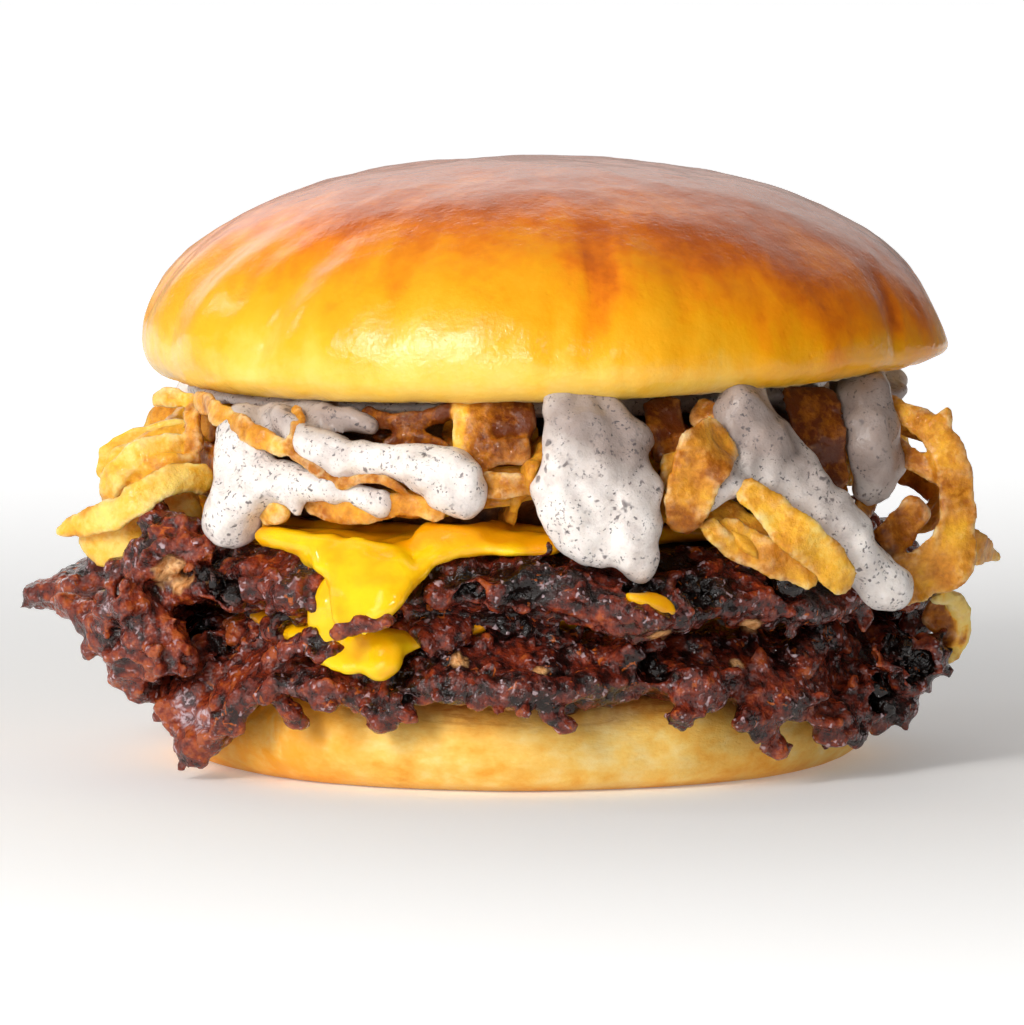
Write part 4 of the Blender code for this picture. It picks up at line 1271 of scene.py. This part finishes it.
# ---- sauce --------------------------------------------------------------------------------------
# runs of sauce that show at the front: pixel, radius and half width at each stop
SHOWN_RUNS = (
    ((250, 416, 48, 3.0), (243, 440, 50.8, 4.0), (243, 462, 52.2, 4.9), (242, 484, 53.0, 5.3),
     (235, 504, 53.4, 4.8), (234, 517, 53.4, 3.8)),
    ((262, 482, 52.4, 3.0), (288, 484, 52.3, 2.5), (318, 487, 52.0, 1.8), (350, 494, 51.8, 1.5),
     (380, 500, 51.4, 1.7)),
    ((296, 488, 52.2, 1.6), (298, 512, 52.4, 1.2)),
    ((377, 498, 51.5, 1.5), (380, 506, 51.6, 1.2)),
    ((262, 410, 46, 1.4), (285, 422, 49.4, 2.2), (308, 440, 51.2, 2.6), (345, 457, 51.8, 2.5),
     (385, 464, 52.0, 2.2), (420, 470, 52.2, 2.9), (448, 478, 52.4, 3.9), (461, 494, 52.2, 3.5)),
    ((290, 408, 45, 1.4), (330, 416, 47.4, 1.7), (370, 426, 48.4, 1.3)),
    ((604, 408, 45, 9.0), (603, 414, 50.0, 8.6), (598, 434, 51.6, 7.2), (592, 454, 52.2, 6.8),
     (595, 478, 52.8, 8.0), (599, 500, 53.2, 8.8), (614, 524, 53.5, 7.8), (629, 545, 53.6, 5.4),
     (635, 556, 53.7, 3.0)),
    ((748, 392, 45, 6.0), (752, 406, 50.5, 5.6), (750, 430, 52.2, 5.4), (762, 456, 53.4, 5.6),
     (792, 482, 54.8, 4.6), (822, 512, 56.5, 3.9), (850, 545, 58.6, 3.5), (880, 582, 60.4, 3.7)),
    ((744, 462, 53.4, 3.0), (724, 484, 54.2, 2.8), (712, 497, 54.4, 2.2)),
    ((862, 386, 46, 4.8), (860, 396, 50.5, 4.2), (860, 416, 52.2, 3.2), (870, 438, 53.5, 4.3),
     (879, 462, 54.0, 4.2), (876, 486, 54.2, 3.2)),
    ((888, 380, 50, 2.4), (896, 390, 51.6, 1.9)),
)
# where the sauce is painted darker as shade, under the top bun and at the right, and painted lighter where
# the amount is below 0: pixel, radius and how much
SAUCE_SHADE_SPOTS = (
    (603, 406, 6.0, 1.9), (570, 420, 4.0, 1.1), (642, 424, 4.5, 1.3), (640, 470, 4.0, 0.9),
    (600, 450, 4.0, 0.6), (750, 398, 5.5, 2.2), (776, 428, 4.5, 1.6), (735, 424, 4.0, 1.2),
    (795, 452, 4.0, 1.2), (818, 480, 3.6, 1.0), (842, 508, 3.4, 0.7), (862, 398, 6.5, 2.6),
    (870, 440, 5.0, 1.9), (892, 450, 4.0, 1.8), (878, 482, 3.6, 1.0), (898, 388, 4.0, 1.4),
    (872, 572, 5.0, -0.7), (852, 548, 3.0, -0.4), (250, 412, 4.0, 0.9), (282, 418, 3.0, 0.8),
    (330, 413, 5.0, 1.5), (370, 424, 4.0, 1.5),
)
# smears beside each drip at the back: degrees aside, drop and half width
BACK_SMEARS = (
    ((6, 3.0, 2.6),),
    ((-5, 1.5, 3.2), (9, 5.0, 1.7)),
    ((4, 4.0, 3.4),),
    ((-6, 1.0, 3.0), (10, 3.0, 2.2)),
    ((6, 7.5, 2.2), (-5, 2.0, 3.2)),
    ((5, 2.0, 3.6),),
)
# sauce pressed out along the bun at the back: bearing, radius, height and half width
BACK_BANDS = (
    ((48, 49.0, 47.6, 1.6), (60, 50.6, 46.8, 2.4), (74, 51.2, 46.0, 2.6), (88, 50.8, 46.6, 2.0),
     (97, 49.8, 47.4, 1.4)),
    ((118, 49.4, 47.8, 1.4), (128, 50.6, 47.0, 2.2), (140, 50.8, 46.4, 2.6), (152, 50.0, 47.2, 1.8)),
    ((22, 49.0, 48.0, 1.4), (31, 50.4, 47.4, 2.0), (42, 50.0, 47.6, 1.6)),
)
# the sauce under the top bun: how far in from its edge, at which share of its height
CAP_PROFILE = ((1.5, 0.0), (0.4, 0.2), (0.0, 0.45), (0.4, 0.8), (1.2, 1.0))


def ringed(rows):
    """Places and half widths, from rows of bearing, radius, height and half width."""
    return [(*around(*row[:3]), row[3]) for row in rows]


def back_drips():
    """Runs of sauce at the back, between the loops of onion, with smears beside them."""
    draw = random.Random(17)
    drips = [ringed(band) for band in BACK_BANDS]
    for index in range(BACK_PAIRS - 1):
        bearing = BACK_START + BACK_STEP * (index + 0.5)
        half = draw.uniform(2.8, 4.2)
        lean = draw.uniform(-3.0, 3.0)
        bottom = draw.uniform(38.0, 43.0)
        drips.append(ringed((
            (bearing, 41, 49.4, 1.0), (bearing + lean * 0.3, 47.6, 49.0, 2.6),
            (bearing + lean * 0.6, 51.8, 45.6, half * 0.8), (bearing + lean, 53.0, bottom, half),
        )))
        turn = draw.choice((-1, 1))
        for aside, drop, wide in BACK_SMEARS[index]:
            drips.append(ringed([
                (bearing + turn * aside * (0.7 + 0.3 * share), radius, height, size)
                for share, radius, height, size in (
                    (0.0, 44, 49.6, 2.0), (0.5, 49.6, 48.4, wide * 1.1),
                    (0.8, 51.4, 47.4 - 0.4 * drop, wide * 0.8), (1.0, 52.2, 47.4 - drop, wide),
                )
            ]))
    return drips


def run_stops(route):
    """Places and half widths for pixels and radii, none of them up in the bun."""
    stops = []
    for across, down, radius, half in route:
        x, y, z = seen(across, down, radius)
        stops.append((x, y, min(z, crown_seat(x, y) - 0.9), half))
    return stops


def drip(stops):
    """A run of sauce through places with half widths, rounded at its end."""
    path = smooth_path(stops, DRIP_STEPS * (len(stops) - 1) + 1)
    places = [row[:3] for row in path]
    halves = [row[3] for row in path]
    tip = places[-1] - places[-2]
    tip = tip / np.linalg.norm(tip)
    end, last = places[-1], halves[-1]
    for step in range(1, 7):
        angle = math.pi / 2 * step / 6.4
        places.append(end + tip * last * 1.1 * math.sin(angle))
        halves.append(last * math.cos(angle))
    rings = []
    for index, (place, half) in enumerate(zip(places, halves)):
        ahead = places[min(index + 1, len(places) - 1)]
        behind = places[max(index - 1, 0)]
        along = (ahead - behind) / np.linalg.norm(ahead - behind)
        outward = np.array((place[0], place[1], 0.0)) / math.hypot(place[0], place[1])
        wide = np.cross(along, outward)
        wide = wide / np.linalg.norm(wide)
        depth = min(half, DRIP_DEPTH, max(1.5, crown_seat(place[0], place[1]) - place[2] + 0.5))
        deep = np.cross(wide, along) * depth
        wide = wide * half
        turns = [math.tau * side / DRIP_SIDES for side in range(DRIP_SIDES)]
        rings.append([place + wide * math.cos(turn) + deep * math.sin(turn) for turn in turns])
    return ring_part(rings)


def cap_part():
    """The sauce that lies on the onions, under the top bun."""
    rings = []
    for inset, share in CAP_PROFILE:
        ring = []
        for index in range(CAP_SIDES):
            b = 360.0 / CAP_SIDES * index
            wave = CAP_WAVE * ripple(b, 9, 12) if 0.0 < share < 1.0 else 0.0
            drawn_in = 2.0 + 2.6 * ripple(b, 16, 21)
            point = around(b, CAP_RADIUS - inset + wave - max(0.0, drawn_in), 0.0)
            top = crown_seat(point.x, point.y) - GAP
            point.z = CAP_BOTTOM + (top - CAP_BOTTOM) * share
            ring.append(point)
        rings.append(ring)
    return ring_part(rings)


def make_sauce():
    """The sauce's cap and runs as one glossy skin."""
    parts = [cap_part()] + [drip(stops) for stops in [*map(run_stops, SHOWN_RUNS), *back_drips()]]
    skin = voxel_skin(parts, SAUCE_VOXEL).without_crumbs(400).without_middle(38.0)
    outside = skin.outside(39.5, 4.0)
    skin.relax_where(outside, 8, 0.6)
    skin.push(outside * (0.75 * rough(skin.points, 5.5, 4) + 0.34 * rough(skin.points, 2.4, 7) + 0.05))
    # grey mottling, with painted shade near the top, under the bun
    grey_and_shade = 0.2 + 0.45 * rough(skin.points, 9.0, 3, 2) + 0.5 * held((skin.points[:, 2] - 46.5) / 3.0)
    return skin, {"grey_and_shade": np.clip(spotted(grey_and_shade, skin, SAUCE_SHADE_SPOTS), 0.0, 2.0)}


# ---- finishes -----------------------------------------------------------------------------------
def crown_finish():
    f = Finish("bun_glaze", Roughness=0.6, Specular_IOR_Level=0.0, Subsurface_Weight=0.08,
               Subsurface_Scale=0.003, Subsurface_Radius=(1.0, 0.5, 0.2), Coat_Weight=1.0,
               Coat_Roughness=0.20, Coat_IOR=1.52)
    bake = f.plus(
        f.value("bake"), f.span(f.noise(9.0, 4.0, 0.6), 0.3, 0.7, -0.06, 0.06),
        f.span(f.noise(1.6, 3.0, 0.6), 0.3, 0.7, -0.03, 0.03),
        f.span(f.noise(4.5, 3.0, 0.55, 0.4, f.stretch(1.0, 1.0, 0.3)), 0.3, 0.7, -0.05, 0.05),
    )
    glaze = f.ramp(
        bake, (0.0, (0.95, 0.60, 0.11)), (0.12, (0.95, 0.55, 0.065)), (0.28, (0.95, 0.44, 0.012)),
        (0.46, (0.94, 0.38, 0.003)), (0.62, (0.92, 0.29, 0.002)), (0.76, (0.80, 0.19, 0.002)),
        (0.90, (0.58, 0.115, 0.004)), (1.0, (0.50, 0.10, 0.008)),
    )
    crumb = f.ramp(f.noise(1.1, 4.0, 0.7), (0.35, (0.62, 0.36, 0.11)), (0.55, (0.88, 0.66, 0.34)),
                   (0.75, (0.95, 0.78, 0.48)))
    return f.done(f.mix(f.value("face"), glaze, crumb), f.relief(
        (f.noise(2.6, 4.0, 0.6), 0.22, 0.7), (f.span(f.cells(1.5)["Distance"], 0.0, 0.35), 0.05, 0.5),
        (f.noise(0.5, 3.0, 0.6), 0.05, 0.6),
    ))


def heel_finish():
    f = Finish("bun_crumb", Roughness=0.65, Specular_IOR_Level=0.15, Subsurface_Weight=0.12,
               Subsurface_Scale=0.003, Subsurface_Radius=(1.0, 0.55, 0.2), Coat_Weight=0.15,
               Coat_Roughness=0.35, Coat_IOR=1.35)
    cut = f.value("cut")
    shade = f.plus(
        f.span(f.noise(8.0, 4.0, 0.6), 0.3, 0.7, 0.0, 0.62),
        f.span(f.noise(2.0, 4.0, 0.6, 0.0, f.stretch(0.6, 0.6, 1.2)), 0.25, 0.75, 0.0, 0.38),
    )
    color = f.ramp(shade, (0.0, (0.84, 0.34, 0.03)), (0.3, (0.92, 0.50, 0.085)), (0.6, (0.95, 0.61, 0.15)),
                   (1.0, (0.97, 0.75, 0.32)))
    toast = f.times(cut, f.span(f.noise(3.2, 5.0, 0.7, 0.6, f.stretch(0.35, 0.35, 2.2)), 0.50, 0.64))
    color = f.mix(f.times(toast, 0.95, clamp=True), color, (0.46, 0.14, 0.018))
    dusk = f.times(f.math("POWER", cut, 1.2), f.span(f.noise(6.0, 4.0, 0.6, 0.4), 0.3, 0.6, 0.35, 0.9))
    color = f.mix(dusk, color, (0.44, 0.13, 0.016))
    soak = f.times(f.value("soak"), f.span(f.noise(5.0, 4.0, 0.6, 0.3), 0.38, 0.58, 0.25, 0.95))
    color = f.mix(soak, color, (0.93, 0.38, 0.022))
    color = f.mix(f.times(f.value("under"), 0.6), color, (0.66, 0.27, 0.045))
    return f.done(color, f.relief(
        (f.noise(3.0, 5.0, 0.65, 0.0, f.stretch(0.55, 0.55, 1.2)), 0.5, 0.7),
        (f.noise(0.7, 4.0, 0.65), 0.10, 0.7),
    ))


def patty_finish(name, shift):
    f = Finish(name, Roughness=0.6, Specular_IOR_Level=0.0, Coat_Weight=1.0, Coat_Roughness=0.08,
               Coat_IOR=1.55)
    stirred = f.stirred(0.9, 1.6)
    crumb = f.cells(1.5, stirred)
    grit = f.cells(0.7, stirred)
    hollow = f.value("hollow")
    pick = f.add("SeparateColor", Color=crumb["Color"]).outputs[0]
    # painted shade: the tone is darker in hollows, and the sear value added here also carries painted light
    # and shade
    tone = f.plus(
        f.span(f.noise(4.2, 4.0, 0.62, 0.3), 0.30, 0.70, 0.0, 0.50),
        f.span(f.noise(1.2, 4.0, 0.65), 0.3, 0.7, 0.0, 0.34), f.times(pick, 0.10),
        f.times(f.value("sear_light_and_shade"), 0.30), f.times(hollow, -0.34),
        f.span(crumb["Distance"], 0.35, 0.75, 0.0, -0.16),
    )
    color = f.ramp(
        f.math("ADD", tone, shift, clamp=True), (0.10, (0.006, 0.0024, 0.0018)),
        (0.32, (0.036, 0.007, 0.005)), (0.52, (0.11, 0.015, 0.008)), (0.76, (0.23, 0.030, 0.009)),
        (0.95, (0.38, 0.076, 0.015)),
    )
    orange = f.times(
        f.span(f.noise(1.5, 2.0, 0.6, 0.6), 0.62, 0.70), f.span(f.noise(7.0, 2.0), 0.46, 0.56), 0.75,
    )
    color = f.mix(orange, color, (0.55, 0.115, 0.010))
    fat = f.times(f.span(f.noise(2.2, 4.0, 0.7, 0.6), 0.58, 0.70), 0.30)
    color = f.mix(fat, color, (0.36, 0.20, 0.18))
    # pale fat flecks and painted glints on the crests
    fat_fleck_and_glint = f.times(
        f.span(f.noise(0.9, 1.0, 0.5, 0.3), 0.60, 0.70), f.span(f.noise(3.4, 2.0), 0.42, 0.56),
        f.span(hollow, 0.30, -0.30), 0.70,
    )
    color = f.mix(fat_fleck_and_glint, color, (0.66, 0.50, 0.54))
    nut = f.ramp(f.noise(1.2, 3.0), (0.35, (0.55, 0.20, 0.05)), (0.6, (0.86, 0.48, 0.20)))
    color = f.mix(f.value("tan"), color, nut)
    # pale fat film with a painted highlight
    pale = f.times(f.value("pale"), f.span(f.noise(1.1, 3.0, 0.65, 0.8), 0.46, 0.60, 0.1, 0.9))
    color = f.mix(pale, color, (0.60, 0.46, 0.50))
    return f.done(color, f.relief(
        (f.noise(1.5, 5.0, 0.66), 0.6, 0.9), (f.span(crumb["Distance"], 0.0, 0.8, 1.0, 0.0), 0.30, 0.8),
        (f.span(grit["Distance"], 0.0, 0.8, 1.0, 0.0), 0.20, 0.8),
    ), f.relief((f.noise(1.6, 2.0, 0.5), 0.7, 0.9), (f.noise(0.75, 2.0, 0.6), 0.34, 0.9)))


def cheese_finish():
    f = Finish("cheese_melt", Roughness=0.5, Specular_IOR_Level=0.05, Subsurface_Weight=0.25,
               Subsurface_Scale=0.003, Subsurface_Radius=(1.0, 0.6, 0.1), Coat_Weight=1.0,
               Coat_Roughness=0.05, Coat_IOR=1.5)
    # painted shade: darker in hollows, under the sauce and onions and between the patties
    tone = f.plus(f.noise(6.0, 3.0, 0.5), f.times(f.value("hollow"), -0.24), f.times(f.value("deep"), -0.62))
    color = f.ramp(tone, (0.2, (0.86, 0.33, 0.001)), (0.45, (0.96, 0.48, 0.001)), (0.65, (0.99, 0.60, 0.002)))
    return f.done(color, f.relief((f.noise(2.6, 3.0, 0.55), 0.25, 0.6), (f.noise(0.6, 3.0, 0.6), 0.03, 0.6)))


# truffle flecks: size of the noise, how much it must exceed, size of the clusters, how much they must exceed
FLECKS = ((0.66, 0.63, 2.6, 0.51), (1.2, 0.65, 4.0, 0.51), (0.42, 0.62, 1.8, 0.51))


def sauce_finish():
    f = Finish("sauce_truffle", Roughness=0.5, Specular_IOR_Level=0.2, Subsurface_Weight=0.30,
               Subsurface_Scale=0.003, Subsurface_Radius=(1.0, 0.8, 0.65), Coat_Weight=0.6,
               Coat_Roughness=0.15, Coat_IOR=1.4)
    grey_and_shade = f.value("grey_and_shade")
    base = f.ramp(f.noise(3.0, 5.0, 0.66, 0.4), (0.3, (0.66, 0.59, 0.56)), (0.5, (0.86, 0.80, 0.76)),
                  (0.72, (0.95, 0.90, 0.87)))
    # darker and browner: partly grey sauce, partly painted shade
    base = f.mix(f.times(grey_and_shade, 0.42, clamp=True), base, (0.27, 0.195, 0.165))
    smear = f.span(f.noise(1.5, 5.0, 0.78, 0.9), 0.52, 0.72, 0.0, 0.55)
    smear = f.times(smear, f.math("MULTIPLY_ADD", grey_and_shade, 0.5, 0.3), clamp=True)
    base = f.mix(smear, base, (0.25, 0.20, 0.20))
    fleck = 0.0
    for size, gate, spread, crowd in FLECKS:
        spot = f.span(f.noise(size, 1.0, 0.5, 0.15), gate - 0.04, gate + 0.08)
        cluster = f.span(f.noise(spread, 2.0), crowd - 0.04, crowd + 0.08)
        fleck = f.math("MAXIMUM", fleck, f.times(spot, cluster))
    dark = f.ramp(f.noise(1.0, 2.0), (0.35, (0.045, 0.040, 0.050)), (0.65, (0.20, 0.16, 0.16)))
    return f.done(f.mix(f.times(fleck, 0.85), base, dark), f.relief(
        (f.noise(2.0, 4.0, 0.6), 0.35, 0.6), (f.noise(0.5, 3.0, 0.6), 0.06, 0.7),
    ))


def onion_finish():
    f = Finish("onion_fried", Roughness=0.5, Specular_IOR_Level=0.1, Subsurface_Weight=0.35,
               Subsurface_Scale=0.003, Subsurface_Radius=(1.0, 0.5, 0.1), Coat_Weight=0.6,
               Coat_Roughness=0.10, Coat_IOR=1.42)
    own = f.value("tone")
    tone = f.plus(
        own, f.span(f.noise(3.4, 3.0, 0.60, 0.5), 0.3, 0.7, -0.16, 0.09),
        f.span(f.noise(1.0, 3.0, 0.6, 0.4), 0.3, 0.7, -0.09, 0.08),
    )
    color = f.ramp(tone, (0.0, (0.13, 0.024, 0.001)), (0.25, (0.40, 0.12, 0.005)), (0.5, (0.70, 0.29, 0.025)),
                   (0.75, (0.92, 0.47, 0.040)), (1.0, (0.97, 0.66, 0.16)))
    crisp = f.times(f.value("edge"), f.span(f.noise(2.0, 3.0, 0.6), 0.35, 0.6), clamp=True)
    crisp = f.times(crisp, f.span(own, 0.15, 0.50, 0.12, 1.0), 0.85)
    rim = f.mix(f.span(f.noise(4.0, 3.0, 0.6), 0.50, 0.62), (0.94, 0.76, 0.44), (0.46, 0.15, 0.012))
    normal = f.relief((f.noise(1.7, 5.0, 0.65), 0.5, 0.8), (f.noise(0.45, 3.0, 0.6), 0.06, 0.8))
    return f.done(f.mix(crisp, color, rim), normal, f.relief((f.noise(1.7, 2.0, 0.5), 0.7, 0.9)))


def core_finish():
    f = Finish("onion_core", Roughness=0.5, Coat_Weight=0.2, Coat_Roughness=0.3)
    # dark browns: painted shade inside the heap
    color = f.ramp(f.noise(2.5, 4.0, 0.65), (0.3, (0.05, 0.014, 0.004)), (0.55, (0.18, 0.06, 0.010)),
                   (0.8, (0.42, 0.17, 0.025)))
    return f.done(color, f.relief((f.noise(1.5, 4.0, 0.65), 0.6, 0.9)))


# ---- build --------------------------------------------------------------------------------------
def build_stack():
    """The buns, the slices of cheese and the patties."""
    skin, values = make_crown()
    add_piece("crown", skin, "bun_top", crown_finish(), values)
    skin, values = make_heel()
    add_piece("heel", skin, "bun_bottom", heel_finish(), values)

    melt = cheese_finish()
    meat = [node_mesh("patty_lower"), node_mesh("patty_upper")]
    sight = Sight(*meat)
    solid = Sight(*meat, node_mesh("cheese_lower"), node_mesh("cheese_upper"))
    drops = melt_drops(smooth_path(LOWER_RUN, 14), RUN_DEPTH) + melt_drops(LOWER_PATCH, PATCH_DEPTH)
    slices = (("cheese_lower", 3, LOWER_FLOWS, drops), ("cheese_upper", 8, UPPER_FLOWS, []))
    for node, seed, flows, drops in slices:
        extras = melt_roll(node, seed)
        for route in flows:
            extras += melt_flow(solid, route)
        skin, values = make_cheese(node, seed, extras + drops)
        add_piece(node + "_melt", skin, node, melt, values)

    lumps = {
        "patty_lower": seen_lumps(sight, LOWER_LUMPS, 52) + hung_lumps(LOW_LUMPS, 55),
        "patty_upper": seen_lumps(sight, UPPER_LUMPS, 51) + hung_lumps(HUNG_LUMPS, 53)
        + seen_lumps(solid, COVER_LUMPS, 54),
    }
    for across, down, radius, out in NODULES:
        place, normal = sight.at(across, down)
        lumps["patty_upper"].append(blob(place + out * normal, np.eye(3), (radius,) * 3))
    for node, (seed, voxel, shift, larger) in PATTIES.items():
        extras = [part for row in larger for part in clumps(node, *row)]
        skin, values = make_patty(node, seed, voxel, extras + lumps[node])
        add_piece(node + "_mince", skin, node, patty_finish(node + "_sear", shift), values)


def build_topping():
    """The sauce and the fried onions."""
    skin, values = make_sauce()
    add_piece("sauce_runs", skin, "sauce", sauce_finish(), values)

    draw = random.Random(77)
    fried = onion_finish()
    shown = [loop.ribbon(index + 1, 1.6, 48) for index, loop in enumerate(SHOWN_LOOPS)]
    behind = [loop.ribbon(index + 30, 1.5, 40) for index, loop in enumerate(back_loops())]
    lying = [loop.ribbon(index + 60, 1.5, 44) for index, loop in enumerate(lying_loops())]
    tangle = [loop.ribbon(index + 100, 1.2, 26, 1.4) for index, loop in enumerate(tangle_loops())]
    tones = list(SHOWN_TONES)
    tones += [draw.uniform(0.4, 0.8) for _ in behind]
    tones += [draw.uniform(0.3, 0.6) for _ in lying]
    add_strips("onion_rings", shown + behind + lying, tones, fried)
    add_strips("onion_strips", tangle, [draw.uniform(0.1, 0.6) for _ in tangle], fried)
    front = [
        strip(route, width, index + 200, turn, face)
        for index, (route, width, _, turn, face) in enumerate(SEEN_STRIPS)
    ]
    skin, values = fused_strips(front, [row[2] for row in SEEN_STRIPS])
    add_piece("onion_front", skin, "onions", fried, values)
    add_piece("onion_core", make_heap_core(), "onions", core_finish(), {})


def add_light(name, place, aim, wide, tall, power, color):
    """A rectangular light at a place, turned to its aim."""
    data = bpy.data.lights.new(name, "AREA")
    data.shape = "RECTANGLE"
    data.size = wide * MM
    data.size_y = tall * MM
    data.energy = power
    data.color = color
    item = bpy.data.objects.new(name, data)
    item.location = Vector(place) * MM
    item.rotation_mode = "QUATERNION"
    item.rotation_quaternion = (Vector(aim) - Vector(place)).to_track_quat("-Z", "Y")
    bpy.context.collection.objects.link(item)


def build_floor():
    """A plain pale floor with a glow of its own, which is less near the burger and at its front right: a
    painted shadow.
    """
    mesh = bpy.data.meshes.new("floor")
    corners = [(FLOOR_REACH * x, FLOOR_REACH * y, 0) for x, y in ((-1, -1), (1, -1), (1, 1), (-1, 1))]
    mesh.from_pydata(corners, [], [(0, 1, 2, 3)])
    floor = bpy.data.objects.new("floor", mesh)
    bpy.context.collection.objects.link(floor)
    pale = Finish("floor_pale", Base_Color=(0.93, 0.93, 0.93), Roughness=0.8, Specular_IOR_Level=0.2,
                  Emission_Color=(0.97, 0.985, 1.0))
    far = pale.apply("VectorMath", "LENGTH", pale.place).node.outputs["Value"]
    x, y, _ = pale.add("SeparateXYZ", Vector=pale.place).outputs
    glow = pale.span(far, 0.05, 0.55, FLOOR_NEAR, FLOOR_FAR)
    # painted shadow: less glow at the front right
    painted_shadow = pale.times(pale.span(x, 0.06, 0.40), pale.span(y, 0.6, 0.1))
    glow = pale.times(glow, pale.math("MULTIPLY_ADD", painted_shadow, -0.85, 1.0))
    pale.fill(pale.shader, {"Emission Strength": glow})
    mesh.materials.append(pale.material)


def build_light():
    """A dim studio with a bright panel behind, a large soft light at the front left and small lights."""
    world = bpy.data.worlds.new("studio")
    world.use_nodes = True
    studio = Nodes(world.node_tree, "Generated")
    x, y, z = studio.add("SeparateXYZ", Vector=studio.place).outputs
    panel = studio.times(
        studio.span(y, 0.05, 0.45), studio.span(z, *PANEL_TOP), studio.span(z, *PANEL_FOOT),
        studio.span(studio.math("ABSOLUTE", x), *PANEL_SIDE),
    )
    glow = studio.math("MULTIPLY_ADD", x, WORLD_SIDE, WORLD_BASE)
    side = studio.math("MULTIPLY_ADD", x, -0.75 * WORLD_BACK, 0.8 * WORLD_BACK)
    glow = studio.math("MULTIPLY_ADD", panel, side, glow)
    studio.fill(world.node_tree.nodes["Background"], {"Strength": glow, "Color": WORLD_COLOR})
    bpy.context.scene.world = world
    for wide, tall, power in SOFT_BOX:
        add_light(f"key_{wide}", SOFT_PLACE, SOFT_AIM, wide, tall, power, SOFT_COLOR)
    for index, (*place, power) in enumerate(GLINTS):
        add_light(f"glint_{index}", place, GLINT_AIM, GLINT_SIZE, GLINT_SIZE, power, GLINT_COLOR)


def build_camera():
    """The camera, a little above the burger's middle and in front of it."""
    camera = bpy.data.cameras.new("camera")
    camera.sensor_fit = "AUTO"
    camera.sensor_width = SENSOR
    camera.lens = SENSOR * VIEW_DISTANCE / LONG_SIDE
    camera.clip_start, camera.clip_end = 0.05, 60.0
    item = bpy.data.objects.new("camera", camera)
    item.location = (Vector(VIEW_AIM) + Vector(SHIFT) + BACK * VIEW_DISTANCE) * MM
    item.rotation_mode = "QUATERNION"
    item.rotation_quaternion = (-BACK).to_track_quat("-Z", "Y")
    bpy.context.collection.objects.link(item)
    scene = bpy.context.scene
    scene.camera = item
    scene.view_settings.view_transform = "Standard"
    scene.view_settings.look = "None"


build_stack()
build_topping()
build_floor()
build_light()
build_camera()
